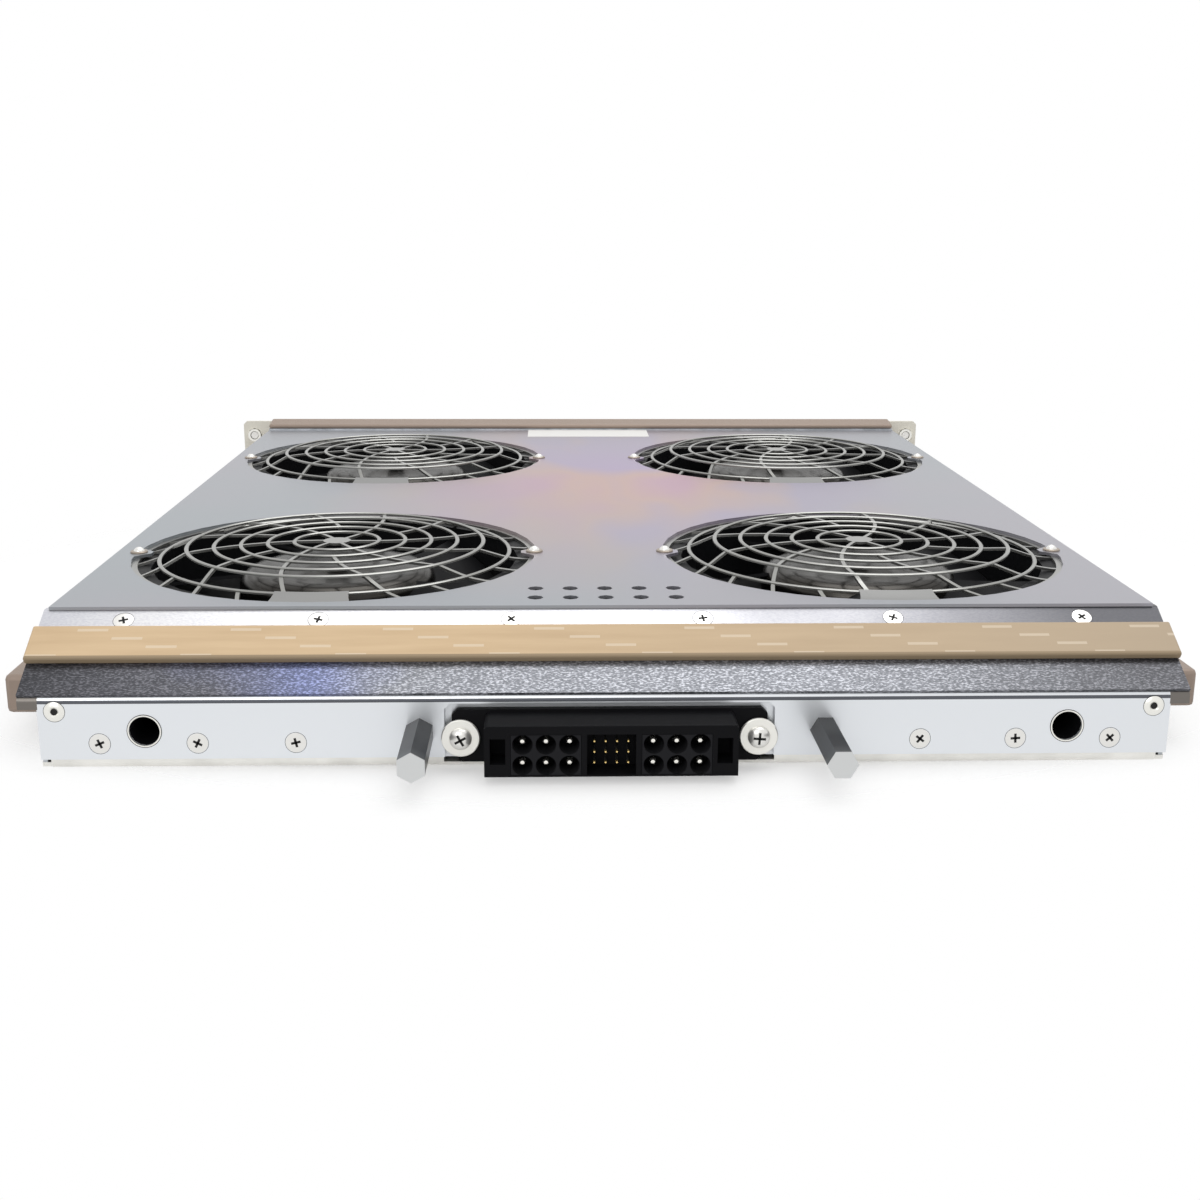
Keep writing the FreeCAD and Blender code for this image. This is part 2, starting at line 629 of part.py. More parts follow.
def make_guard_openings():
    """Cutters for the guard's openings and for the flat round each screw."""
    wide, narrow = (2 * math.pi / (RIBS_AT_HUB * n) for n in (1, 2))
    cells = []
    for k in range(RIBS_AT_HUB):
        cells.append(guard_cell(size("guard_hub_radius") - size("guard_bar") / 2, ring_radii[0], k, wide))
        cells.append(guard_cell(ring_radii[0], ring_radii[1], k, wide))
    for inner, outer in zip(ring_radii[1:], ring_radii[2:]):
        cells += [guard_cell(inner, outer, k, narrow) for k in range(2 * RIBS_AT_HUB)]
    for k in range(2 * RIBS_AT_HUB):
        middle_angle = rib_angle(k + 0.5, opening - 4.5, narrow)
        reach = 1 if abs(math.cos(middle_angle)) > 0.25 else size("guard_tab")
        cells.append(guard_cell(ring_radii[-1], opening - reach, k, narrow))
    cutter = new_body("guard_openings")
    pad(cutter, "guard_cells", "XY_Plane", merged(cells), f"{FAN_TOP} - 2", "@tray_height + 20")
    relief = new_body("guard_screw_relief")
    lobes = side_pair(size("fan_screw_pitch") / 2, 0, 1.35 * size("lobe_radius"))
    pad(relief, "guard_lobes", "XY_Plane", lobes, COVER_UNDER, "@tray_height + 20")
    pad(relief, "guard_screw_holes", "XY_Plane",
        side_pair(size("fan_screw_pitch") / 2, 0, size("fan_hole_radius")), f"{FAN_TOP} - 2",
        "@tray_height + 20")
    return cutter, relief


def make_guard_rim():
    """Flat rim, cut off on two sides like the fan."""
    body = new_body("guard_rim")
    radius, flat = size("fan_width") / 2, opening + 1.5
    spread = math.asin(flat / radius)
    right = [(radius * math.cos(t), radius * math.sin(t)) for t in
             [-spread + 2 * spread * k / 8 for k in range(9)]]
    outline = polygon(right + [(-x, -y) for x, y in right])
    low = f"{COVER_UNDER} - @guard_sheet"
    inner = facets(0, 0, opening - 5, RIBS_AT_HUB * 4)
    pad(body, "rim_plate", "XY_Plane", outline + inner, low, COVER_UNDER)
    return body


def make_fans():
    """Guards, frames, motors, impellers, bearings, and the screws that hold each fan up."""
    dome = join("guard_solid", make_guard_dome(), make_guard_rim())
    masters = {"fan_guard": cut("guard_master", dome, *make_guard_openings()),
               "fan_housing": make_housing_master(),
               "fan_motor": make_motor_master(), "fan_impeller": make_impeller_master()}
    doc.recompute()
    for stem, master in masters.items():
        place_copies(master, stem)
    bearings, screws = [], []
    low = f"{FAN_TOP} - @fan_thickness + @fan_plate"
    for k, (x, y) in enumerate(FAN_CENTRES):
        sx, sy = ("-" if x < 0 else ""), ("-" if y < 0 else "")
        cx, cy = f"{sx}(@tray_width / 2 - @fan_from_side)", f"{sy}(@tray_depth / 2 - @fan_from_end)"
        outer = rod(f"bearing_outer_{k}", "@bearing_radius", "20", cx, cy, low)
        inner = rod(f"bearing_bore_{k}", "(@shaft_radius + @running_gap) / cos(22.5 deg)", "24", cx, cy,
                    f"{low} - 1")
        bearings.append(cut(f"bearing_{k}", outer, inner))
        for side in (-1, 1):
            at_x = f"{cx} + {side} * @fan_screw_pitch / 2"
            tag = f"{k}_{'left' if side < 0 else 'right'}"
            head = rod(f"fan_screw_head_{tag}", "@screw_head_radius", "1.8", at_x, cy, "@tray_height")
            shank = rod(f"fan_screw_shank_{tag}", "@screw_shank_radius", "14", at_x, cy,
                        "@tray_height - 13.5", sides=6)
            screws.append(join(f"fan_screw_{tag}", head, shank))
    group("fan_bearings", *bearings)
    group("fan_screws", *screws)


# ---------------------------------------------------------------- rear fittings
def make_posts():
    """Hexagonal posts that stand out of the rear wall, each on a stud through the sheet."""
    posts = []
    for side, x, turn in (("left", f"-({CUTOUT_HALF} + @post_left_room)", 30),
                          ("right", f"{CUTOUT_HALF} + @post_right_room", 0)):
        post = doc.addObject("Part::Prism", f"post_{side}")
        post.Polygon = 6
        spin = FreeCAD.Rotation(Vector(0, 0, 1), turn)
        post.Placement = FreeCAD.Placement(Vector(), TURNS["-Y"].multiply(spin))
        bind(post, Circumradius="@post_flats / sqrt(3)", Height="@post_length")
        move_to(post, x, REAR, "@post_height")
        stud = rod(f"post_stud_{side}", "@screw_shank_radius", "7", x, f"{REAR} - 1", "@post_height",
                   "+Y", sides=6)
        posts.append(join(f"hex_post_{side}", post, stud))
    group("hex_posts", *posts)


def make_guide_blocks():
    """Blocks against the rear wall, above the pan's lip, whose bores take the chassis guide pins."""
    for side, sign in (("left", -1), ("right", 1)):
        body = new_body(f"guide_block_{side}")
        middle = sign * guide_middle
        half = size("guide_block_width") / 2
        low = size("pan_lip") + 0.3
        outline = rectangle(middle - half, middle + half, low, low + size("guide_block_tall"))
        pad(body, f"guide_body_{side}", "XZ_Plane", outline, REAR_INNER, f"{REAR_INNER} + @guide_block_deep")
        bore = circle(middle, size("guide_height"), size("guide_bore_radius"))
        pocket(body, f"guide_bore_{side}", "XZ_Plane", bore)
        keep(body, f"guide_block_{side}")


# ---------------------------------------------------------------- blind-mate connector
FACE = f"{REAR} - 0.3 - @connector_reach"
FLANGE_FRONT = f"{REAR} - 0.3"
FLANGE_BACK = f"{REAR} - 0.3 + @connector_flange_thick"
PLATE_FRONT = LIP_INNER


def make_connector_plate():
    """Steel plate behind the wall that the floating connector is screwed to."""
    body = new_body("connector_plate")
    half = cutout_half + 4
    low_edge = size("pan_sheet") + size("bend_radius") + 0.3
    outline = rectangle(-half, half, low_edge, size("cutout_top") + 1.2)
    pad(body, "plate_sheet", "XZ_Plane", outline, PLATE_FRONT, f"{PLATE_FRONT} + @plate_thickness")
    low = size("connector_height") - size("connector_body_tall") / 2
    opening = rectangle(-body_half, body_half, low + 1.2, low + size("connector_body_tall") - 0.2)
    pocket(body, "plate_window", "XZ_Plane", opening)
    holes = side_pair(screw_middle, size("connector_height"), size("screw_shank_radius") + 0.1)
    pocket(body, "plate_holes", "XZ_Plane", holes)
    return keep(body, "connector_plate")


def make_connector_body():
    """Moulded housing: an eared flange, a deep nose with pin recesses and a rear block."""
    body = new_body("connector_body")
    middle, tall = size("connector_height"), size("connector_body_tall")
    half, ear = body_half, flange_half
    low, high = middle - tall / 2, middle + tall / 2
    bevel = 3.5
    flange = [(-ear + bevel, low), (ear - bevel, low), (ear, low + bevel), (ear, high - 1),
              (ear - 2, high + 1), (-ear + 2, high + 1), (-ear, high - 1), (-ear, low + bevel)]
    pad(body, "connector_flange", "XZ_Plane", polygon(flange), FLANGE_FRONT, FLANGE_BACK)
    nose = [(-half, low), (half, low), (half, high - 1), (half - 1, high), (-half + 1, high), (-half, high - 1)]
    pad(body, "connector_nose", "XZ_Plane", polygon(nose), FACE, FLANGE_FRONT)
    back = rectangle(-half + 3, half - 3, low + 2.5, high - 2)
    pad(body, "connector_back", "XZ_Plane", back, FLANGE_BACK, f"{FLANGE_BACK} + 12")
    ears = side_pair(screw_middle, middle,
                     size("bushing_radius") + size("connector_float") + 0.3, 12)
    pocket(body, "connector_ear_holes", "XZ_Plane", ears)
    reach, rows = 1.5 * size("power_pin_pitch"), size("power_pin_rows") / 2 + 3.4
    recesses = [rectangle(sx * size("power_pin_middle") - reach, sx * size("power_pin_middle") + reach,
                          middle - 1.2 - rows, middle - 1.2 + rows) for sx in (-1, 1)]
    signal = 2 * size("signal_pin_pitch") + 0.6
    recesses.append(rectangle(-signal, signal, middle - 1.2 - rows, middle - 1.2 + rows))
    key, wide, high = half - size("key_from_edge"), size("key_width") / 2, size("key_tall") / 2
    recesses += [rectangle(x - wide, x + wide, middle - high, middle + high) for x in (-key, key)]
    pocket(body, "connector_recesses", "XZ_Plane", merged(recesses), FACE, f"{FACE} + @socket_depth")
    return keep(body, "connector_body")


def make_pins():
    """Power pins in two blocks of six, and a block of signal pins between them."""
    floor = f"{FACE} + @socket_depth"
    reach = "@socket_depth - @pin_recess"
    middle = "@connector_height - 1.2"
    power, signal = [], []
    for side in (-1, 1):
        for column in (-1, 0, 1):
            for row in (-1, 1):
                x = f"{side} * @power_pin_middle + {column} * @power_pin_pitch"
                z = f"{middle} + {row} * @power_pin_rows / 2"
                power.append(rod(f"power_pin_{len(power)}", "@power_pin_radius", reach, x, floor, z, "-Y",
                                 sides=6))
    for column in range(4):
        for row in (-1, 0, 1):
            x = f"({column} - 1.5) * @signal_pin_pitch"
            z = f"{middle} + {row} * @power_pin_rows / 2"
            signal.append(rod(f"signal_pin_{len(signal)}", "@signal_pin_radius", reach, x, floor, z, "-Y",
                              sides=4))
    group("power_pins", *power)
    group("signal_pins", *signal)


def make_connector_fixings():
    """Shoulder bushings, washers and screws that let the connector float sideways."""
    washers, bushings, screws = [], [], []
    washer_back = f"{FLANGE_FRONT} - @connector_gap"
    for side, sign in (("left", "-"), ("right", "")):
        x, z = f"{sign}(@connector_body_width / 2 + @connector_screw_room)", "@connector_height"
        bore = "(@screw_shank_radius + @screw_clearance) / cos(22.5 deg)"
        ring = rod(f"washer_ring_{side}", "@washer_radius", "@washer_thickness", x, washer_back, z, "-Y",
                   sides=16)
        hole = rod(f"washer_hole_{side}", bore, "6", x, f"{washer_back} - 4", z, "+Y")
        washers.append(cut(f"washer_{side}", ring, hole))
        length = f"({PLATE_FRONT}) - ({washer_back})"
        sleeve = rod(f"bushing_sleeve_{side}", "@bushing_radius", length, x, washer_back, z, "+Y", sides=12)
        through = rod(f"bushing_bore_{side}", bore, "12", x, f"{washer_back} - 3", z, "+Y")
        bushings.append(cut(f"bushing_{side}", sleeve, through))
        seat = f"{washer_back} - @washer_thickness"
        head = rod(f"pan_head_{side}", "@screw_head_radius + 0.2", "2.4", x, seat, z, "-Y", sides=12)
        shank = rod(f"pan_shank_{side}", "@screw_shank_radius", "12", x, seat, z, "+Y", sides=6)
        screws.append(join(f"connector_screw_{side}", head, shank))
    group("connector_washers", *washers)
    group("connector_bushings", *bushings)
    group("connector_screws", *screws)


# ---------------------------------------------------------------- gaskets, front and inside
def make_side_gaskets():
    """Square-section soft gaskets along both side walls, with bevelled edges."""
    low, high = size("side_gasket_bottom"), size("side_gasket_bottom") + size("side_gasket_tall")
    bevel = 1.2
    for side, sign in (("left", -1), ("right", 1)):
        body = new_body(f"side_gasket_{side}")
        near, far = sign * half_width, sign * (half_width + size("side_gasket_width"))
        back = far - sign * bevel
        outline = [(near, low), (back, low), (far, low + bevel), (far, high - bevel), (back, high),
                   (near, high)]
        start = "-@tray_depth / 2 + @rear_sheet + @rear_taper + 1"
        pad(body, f"side_strip_{side}", "XZ_Plane", polygon(outline), start, "@tray_depth / 2 - 0.3")
        keep(body, f"side_gasket_{side}")


def make_front_panel():
    """Front plate with ears for the captive screws and holes for the handles."""
    body = new_body("front_panel")
    half, high, corner = panel_half, size("panel_height"), size("panel_corner")
    outline = [(-half + corner, 0), (half - corner, 0), (half, corner), (half, high - corner),
               (half - corner, high), (-half + corner, high), (-half, high - corner), (-half, corner)]
    pad(body, "panel_plate", "XZ_Plane", polygon(outline), "@tray_depth / 2",
        "@tray_depth / 2 + @panel_thickness")
    holes = merged([side_pair(captive_middle, z, size("ferrule_radius") - 0.6)
                    for z in (size("captive_low"), size("captive_high"))])
    pocket(body, "panel_holes", "XZ_Plane", holes)
    return keep(body, "front_panel")


def make_front_angle():
    """Thin angle behind the panel: it laps over the cover and carries the front gasket."""
    body = new_body("front_angle")
    metal = size("angle_sheet")
    path = [(half_depth - size("angle_depth"), top + metal), (half_depth, top + metal),
            (half_depth, top + metal - size("angle_drop"))]
    pad(body, "angle_plate", "YZ_Plane", polygon(mitred(path[::-1], metal)), "-@tray_width / 2",
        "@tray_width / 2")
    return keep(body, "front_angle")


def make_front_gasket():
    """Soft bar along the top of the front panel, higher at the panel than at the cover."""
    body = new_body("front_gasket")
    base, bevel = top + size("angle_sheet"), 0.8
    near, far = half_depth - size("angle_depth"), half_depth - 0.3
    outline = [(near, base), (far, base), (far, base + size("bar_far_height")),
               (far - bevel, base + size("bar_far_height")), (near + bevel, base + size("bar_near_height")),
               (near, base + size("bar_near_height") - bevel)]
    pad(body, "gasket_bar", "YZ_Plane", polygon(outline), "-@tray_width / 2", "@tray_width / 2")
    return keep(body, "front_gasket")


def make_captive_screws():
    """Sprung captive screws: fixed ferrules in the ears, and in each a knob with its round-tipped shank."""
    ferrules = []
    face = "@tray_depth / 2 + @panel_thickness"
    for level in ("low", "high"):
        for side, sign in (("left", "-"), ("right", "")):
            x, z, tag = f"{sign}{CAPTIVE_X}", f"@captive_{level}", f"{level}_{side}"
            barrel = rod(f"ferrule_barrel_{tag}", "@ferrule_radius", "@ferrule_length", x, face, z, "+Y")
            collar = rod(f"ferrule_collar_{tag}", "@ferrule_radius - 0.6", "@panel_thickness + 1.5", x,
                         "@tray_depth / 2 - 1.5", z, "+Y")
            bore = rod(f"ferrule_bore_{tag}", "(@captive_shank + @running_gap) / cos(22.5 deg)", "20", x,
                       "@tray_depth / 2 - 5", z, "+Y")
            ferrules.append(cut(f"ferrule_{tag}", join(f"ferrule_solid_{tag}", barrel, collar), bore))
            shank_start = "@tray_depth / 2 - 1.6"
            cap = f"{face} + @ferrule_length + @captive_travel + 0.5"
            skirt = "@ferrule_length - 0.2"
            shank = rod(f"captive_shank_{tag}", "@captive_shank", f"({cap}) + 1 - ({shank_start})", x,
                        shank_start, z, "+Y")
            head = rod(f"knob_{tag}", "@knob_radius", f"{skirt} + 3", x, f"{cap} - ({skirt})", z, "+Y",
                       sides=12)
            hollow = rod(f"knob_hollow_{tag}", "@ferrule_radius + 0.4", skirt, x, f"{cap} - ({skirt})", z,
                         "+Y")
            tip = doc.addObject("Part::Cylinder", f"captive_tip_{tag}")
            tip.Placement = FreeCAD.Placement(Vector(), TURNS["-Y"])
            bind(tip, Radius="@captive_shank", Height="@captive_tip")
            move_to(tip, x, shank_start, z)
            screw = join(f"captive_solid_{tag}", cut(f"knob_cup_{tag}", head, hollow), shank, tip)
            keep(screw, f"captive_screw_{level}_{side}")
    group("captive_ferrules", *ferrules)


def make_handles():
    """Two bow handles bent from flat bar, standing out of the front panel."""
    face = half_depth + size("panel_thickness")
    reach, half, bar = face + size("handle_reach"), size("handle_pitch") / 2, size("handle_bar")
    middle = size("panel_height") / 2
    path = eased([(face, middle - half), (reach, middle - half), (reach, middle + half),
                  (face, middle + half)], bar + 3)
    for side, sign in (("left", "-"), ("right", "")):
        body = new_body(f"handle_{side}")
        at = f"{sign}(@tray_width / 2 - @handle_from_side)"
        pad(body, f"handle_bow_{side}", "YZ_Plane", polygon(mitred(path, bar)),
            f"{at} - @handle_width / 2", f"{at} + @handle_width / 2")
        keep(body, f"handle_{side}")


def make_board():
    """Control board behind the connector, on four pillars, with its larger parts."""
    rear = f"{LIP_INNER} + 4"
    slab = block("board_slab", (f"-({BOARD_HALF})", BOARD_HALF), (rear, f"{rear} + @board_depth"),
                 ("@board_height", "@board_height + @board_thickness"))
    notch = block("board_notch", ("-@connector_body_width / 2", "@connector_body_width / 2"),
                  (f"{rear} - 1", f"{rear} + 10"), ("@board_height - 1", "@board_height + 4"))
    keep(cut("control_board", slab, notch), "control_board")
    pillars = [rod(f"pillar_{k}", "3", "@board_height - @pan_sheet",
                   f"{sx} * ({BOARD_HALF} - 6)", f"{rear} + {dy}", "@pan_sheet", sides=6)
               for k, (sx, dy) in enumerate(((-1, 5), (1, 5), (-1, 28), (1, 28)))]
    group("board_pillars", *pillars)
    on_board = "@board_height + @board_thickness"
    parts = [rod(f"capacitor_{k}", "5", "16", f"{x}", f"{rear} + 24", on_board)
             for k, x in enumerate((-38, -26, 26))]
    parts += [block(f"fan_header_{k}", (f"{x}", f"{x + 9}"), (f"{rear} + 19", f"{rear} + 25"),
                    (on_board, f"{on_board} + 8")) for k, x in enumerate((-18, -6, 6))]
    group("board_parts", *parts)


def make_label():
    """Blank label on the cover beside the front gasket."""
    front = "@tray_depth / 2 - @angle_depth - 0.5"
    label = block("cover_label_sheet", ("@label_middle - @label_width / 2", "@label_middle + @label_width / 2"),
                  (f"{front} - @label_depth", front), ("@tray_height", "@tray_height + @label_thickness"))
    keep(label, "cover_label")


make_bottom_pan()
make_side_panel(-1, "side_panel_left")
make_side_panel(1, "side_panel_right")
make_rear_panel()
make_gasket_bracket()
make_rear_gasket()
make_top_cover()
make_fans()
make_posts()
make_guide_blocks()
make_connector_plate()
make_connector_body()
make_pins()
make_connector_fixings()
make_side_gaskets()
make_front_panel()
make_front_angle()
make_front_gasket()
make_captive_screws()
make_handles()
make_board()
make_label()
doc.recompute()

# ---------------------------------------------------------------- check and write
for item in doc.Objects:
    if "Invalid" in item.State or "Error" in item.State:
        raise RuntimeError(f"{item.Name} failed: {item.State}")
for node, item in NODES.items():
    if item.Shape.isNull() or not item.Shape.isValid():
        raise RuntimeError(f"{node} has no valid shape")
os.makedirs("parts", exist_ok=True)
for node, item in NODES.items():
    item.Shape.exportStep(f"parts/{node}.step")
print(len(NODES), "nodes written")
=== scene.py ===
# %% [markdown]
# # A rack fan tray
# The tray is a shallow sheet-metal drawer with four round fans. Its sheets, fans and connector come
# from the CAD frame, and this script dresses them: finer grilles, soft gaskets, screws and finishes.
# Loading the frame first gives every CAD node a place, so each new piece can be measured from it.

# %% Load the frame
import bpy
import bmesh
import math
from mathutils import Matrix, Vector


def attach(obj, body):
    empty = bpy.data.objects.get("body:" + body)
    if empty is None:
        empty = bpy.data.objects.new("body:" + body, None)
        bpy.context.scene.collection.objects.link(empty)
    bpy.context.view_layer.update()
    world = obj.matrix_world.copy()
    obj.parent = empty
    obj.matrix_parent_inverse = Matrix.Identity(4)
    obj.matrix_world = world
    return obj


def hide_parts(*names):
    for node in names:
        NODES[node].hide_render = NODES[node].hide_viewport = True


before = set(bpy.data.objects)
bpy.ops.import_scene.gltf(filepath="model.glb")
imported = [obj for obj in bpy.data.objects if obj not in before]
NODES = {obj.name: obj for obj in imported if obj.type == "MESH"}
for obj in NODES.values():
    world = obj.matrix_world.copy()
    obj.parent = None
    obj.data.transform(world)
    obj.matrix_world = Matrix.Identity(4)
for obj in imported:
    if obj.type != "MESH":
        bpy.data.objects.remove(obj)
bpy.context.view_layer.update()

MM = 0.001

# %% [markdown]
# ## Shader helper
# Finishes such as spangled zinc are sums and products of noise. Writing them as Python expressions
# keeps them readable: a Socket overloads the operators, and a Finish owns one material with a single
# method that adds any node. The other way, wiring each Math node by hand, takes many more lines.


# %% Socket and Finish
class Socket:
    """A shader value on which Python arithmetic adds Math nodes."""

    def __init__(self, finish, plug):
        self.finish = finish
        self.plug = plug

    def math(self, operation, first, second):
        return self.finish.node("ShaderNodeMath", {"operation": operation}, {0: first, 1: second})

    def __add__(self, other):
        return self.math("ADD", self, other)

    def __sub__(self, other):
        return self.math("SUBTRACT", self, other)

    def __rsub__(self, other):
        return self.math("SUBTRACT", other, self)

    def __mul__(self, other):
        return self.math("MULTIPLY", self, other)

    def __gt__(self, other):
        return self.math("GREATER_THAN", self, other)

    __radd__, __rmul__ = __add__, __mul__


class Finish:
    """One material: constants go on the shader's own sockets, patterns are fed to it."""

    def __init__(self, name, colour, roughness=0.5, metallic=0.0, **constants):
        self.material = bpy.data.materials.new(name)
        self.material.use_nodes = True
        self.tree = self.material.node_tree
        self.shader = self.tree.nodes["Principled BSDF"]
        settings = {"Base Color": (*colour, 1), "Roughness": roughness, "Metallic": metallic}
        for plug, value in {**settings, **constants}.items():
            self.shader.inputs[plug].default_value = value

    def node(self, kind, settings=None, plugs=None, output=0):
        made = self.tree.nodes.new(kind)
        for key, value in (settings or {}).items():
            if key == "stops":
                while len(made.color_ramp.elements) < len(value):
                    made.color_ramp.elements.new(0.5)
                for element, (place, colour) in zip(made.color_ramp.elements, value):
                    element.position, element.color = place, (*colour, 1)
            else:
                setattr(made, key, value)
        for key, value in (plugs or {}).items():
            if isinstance(value, Socket):
                self.tree.links.new(value.plug, made.inputs[key])
            else:
                made.inputs[key].default_value = value
        return Socket(self, made.outputs[output])

    def feed(self, plug, value):
        self.tree.links.new(value.plug, self.shader.inputs[plug])
        return self

    def place(self, scale=(1, 1, 1), turn=(0, 0, 0)):
        """Object coordinates, scaled and turned."""
        where = self.node("ShaderNodeTexCoord", output=3)
        return self.node("ShaderNodeMapping", None, {"Vector": where, "Scale": scale, "Rotation": turn})

    def noise(self, scale, detail=2.0, stretch=(1, 1, 1)):
        return self.node("ShaderNodeTexNoise", None,
                         {"Vector": self.place(stretch), "Scale": scale, "Detail": detail})

    def axis(self, index):
        """Object coordinate along X, Y or Z, in metres."""
        where = self.node("ShaderNodeTexCoord", output=3)
        return self.node("ShaderNodeSeparateXYZ", None, {"Vector": where}, output=index)

    def ramp(self, value, stops):
        return self.node("ShaderNodeValToRGB", {"stops": stops}, {"Fac": value})

    def blend(self, mask, first, second):
        return self.node("ShaderNodeMix", {"data_type": "RGBA"}, {0: mask, 6: first, 7: second}, output=2)

    def tinted(self, colour, painted_reflection_below):
        """One colour multiplied by another."""
        return self.node("ShaderNodeMix", {"data_type": "RGBA", "blend_type": "MULTIPLY"},
                         {0: 1.0, 6: colour, 7: painted_reflection_below}, output=2)

    def bump(self, height, strength, distance=0.0002):
        made = self.node("ShaderNodeBump", None,
                         {"Height": height, "Strength": strength, "Distance": distance})
        return self.feed("Normal", made)


DULL = {"Specular IOR Level": 0.06}
print("shader helper ready")

# %% [markdown]
# ## Zinc sheet
# Zinc-plated sheet is pale grey with a faint bloom: the passivation turns pink and ochre where it lies
# thicker. A ball-shaped mask over the middle of the cover carries that tint. Hot-dip sheet, used for
# the sloping strip, sparkles instead: a stretched noise behind a steep ramp gives bright flecks on grey.
# Above the tan strip a painted reflection makes the same sheet nearly white, darker towards its right end;
# below it a painted reflection makes it darker, bluish in one band and darkest at the ends. The wall and the
# pan carry painted shade: a dark line under the strip, shade past the wall's ends, and dark inside the tray.


# %% Zinc finishes
def plated_cover():
    """Cover sheet with a warm bloom between the fans."""
    zinc = Finish("zinc_cover", (0.42, 0.455, 0.485), roughness=0.34, metallic=0.6)
    where = zinc.node("ShaderNodeTexCoord", output=3)
    near = zinc.node("ShaderNodeVectorMath", {"operation": "SUBTRACT"}, {0: where, 1: (0.02, 0.05, 0.0485)})
    near = zinc.node("ShaderNodeVectorMath", {"operation": "MULTIPLY"}, {0: near, 1: (6.6, 3.9, 0.0)})
    reach = zinc.node("ShaderNodeVectorMath", {"operation": "LENGTH"}, {0: near}, output=1)
    bloom = zinc.ramp(reach + (zinc.noise(5.0) - 0.5) * 0.5, [(0.15, (1, 1, 1)), (1.1, (0, 0, 0))])
    patch = zinc.ramp(zinc.noise(9.0, stretch=(1.6, 0.8, 1)),
                      [(0.36, (0.45, 0.27, 0.345)), (0.5, (0.48, 0.315, 0.28)), (0.64, (0.355, 0.28, 0.425))])
    base = zinc.ramp(zinc.noise(7.0), [(0.35, (0.31, 0.335, 0.36)), (0.65, (0.335, 0.33, 0.365))])
    zinc.feed("Base Color", zinc.blend(bloom * 0.95, base, patch))
    return zinc.material


def spangled(name, dark, light, scale=260.0, roughness=0.3):
    """Hot-dip zinc: small crystals of different brightness."""
    zinc = Finish(name, light, roughness=roughness, metallic=0.7)
    zinc.feed("Base Color", zinc.ramp(zinc.noise(scale, 4.0), [(0.35, dark), (0.65, light)]))
    return zinc.material


def sloping_strip():
    """The bracket's sheet with sparkling flecks: a painted reflection makes it bright above the tan strip, and
    painted reflection and shade make it dark below it.
    """
    zinc = Finish("zinc_strip", (0.5, 0.5, 0.5), roughness=0.32, metallic=0.55)
    flecks = zinc.noise(1500.0, 4.0, (0.6, 1.3, 1.3))
    upper = zinc.ramp(flecks, [(0.35, (0.58, 0.58, 0.61)), (0.6, (0.68, 0.68, 0.69))])
    lower = zinc.ramp(flecks, [(0.38, (0.26, 0.265, 0.28)), (0.52, (0.42, 0.425, 0.45)), (0.62,
                                                                                          (0.95, 0.95, 0.98))])
    # The two ramps along X paint reflected light: near white above the tan strip, fading dark at the right
    # end; below it dark ends and a bluish band.
    side = zinc.axis(0) + (zinc.noise(14.0) - 0.5) * 0.12
    painted_reflection_below = zinc.ramp(side + 0.5, [(0.31, (0.11, 0.11, 0.12)), (0.355, (0.20, 0.20, 0.22)),
                                   (0.385, (0.26, 0.30, 0.52)), (0.42, (0.36, 0.37, 0.39)),
                                   (0.57, (0.40, 0.41, 0.43)), (0.70, (0.13, 0.13, 0.14))])
    painted_reflection_above = zinc.ramp(side + 0.5, [(0.28, (0.80, 0.81, 0.86)), (0.36, (1, 1, 1)), (0.53, (0.96, 0.96, 0.98)),
                                  (0.60, (0.36, 0.36, 0.38)), (0.68, (0.10, 0.10, 0.11))])
    above_tan_strip = zinc.axis(2) > 0.0365
    zinc.feed("Base Color", zinc.blend(above_tan_strip, zinc.tinted(lower, painted_reflection_below), zinc.tinted(upper, painted_reflection_above)))
    return zinc.material


def pan_sheet():
    """Pale sheet outside, and dark where the closed tray shades its upper face."""
    zinc = Finish("zinc_pan", (0.7, 0.7, 0.66), roughness=0.42, metallic=0.7)
    pale = zinc.ramp(zinc.noise(90.0, 4.0), [(0.35, (0.76, 0.75, 0.71)), (0.65, (0.87, 0.86, 0.82))])
    inside = (zinc.axis(1) > -0.225) * (zinc.axis(2) > 0.0006)
    zinc.feed("Base Color", zinc.blend(inside, pale, (0.02, 0.02, 0.021, 1)))
    return zinc.material


def wall_sheet():
    """Bright wall, with a painted shadow line under the sloping strip and painted shade past its own ends."""
    zinc = Finish("zinc_wall", (0.79, 0.815, 0.845), roughness=0.3, metallic=0.6)
    height = zinc.axis(2)
    aside = zinc.node("ShaderNodeMath", {"operation": "ABSOLUTE"}, {0: zinc.axis(0)})
    # Painted shade: a dark line where the sloping strip shadows the wall, and a darker tone past the wall's
    # ends.
    under_strip = (height > 0.0238) * (0.0250 - height > 0.0)
    past_ends = (height > 0.0218) * (aside > 0.1932)
    painted_shadow_line = zinc.blend(under_strip, (0.79, 0.815, 0.845, 1), (0.10, 0.105, 0.12, 1))
    zinc.feed("Base Color", zinc.blend(past_ends, painted_shadow_line, (0.17, 0.155, 0.14, 1)))
    return zinc.material


ZINC_COVER = plated_cover()
ZINC_STRIP = sloping_strip()
ZINC_SIDE = spangled("zinc_side", (0.38, 0.40, 0.42), (0.54, 0.56, 0.59), scale=160.0, roughness=0.4)
ZINC_PAN = pan_sheet()
ZINC_PLATE = Finish("zinc_plate", (0.79, 0.815, 0.845), roughness=0.3, metallic=0.6).material
ZINC_WALL = wall_sheet()
BRIGHT_ZINC = Finish("bright_zinc", (0.86, 0.85, 0.80), roughness=0.28, metallic=0.7).material
print("zinc", ZINC_COVER.name, ZINC_STRIP.name, ZINC_SIDE.name, ZINC_WALL.name)

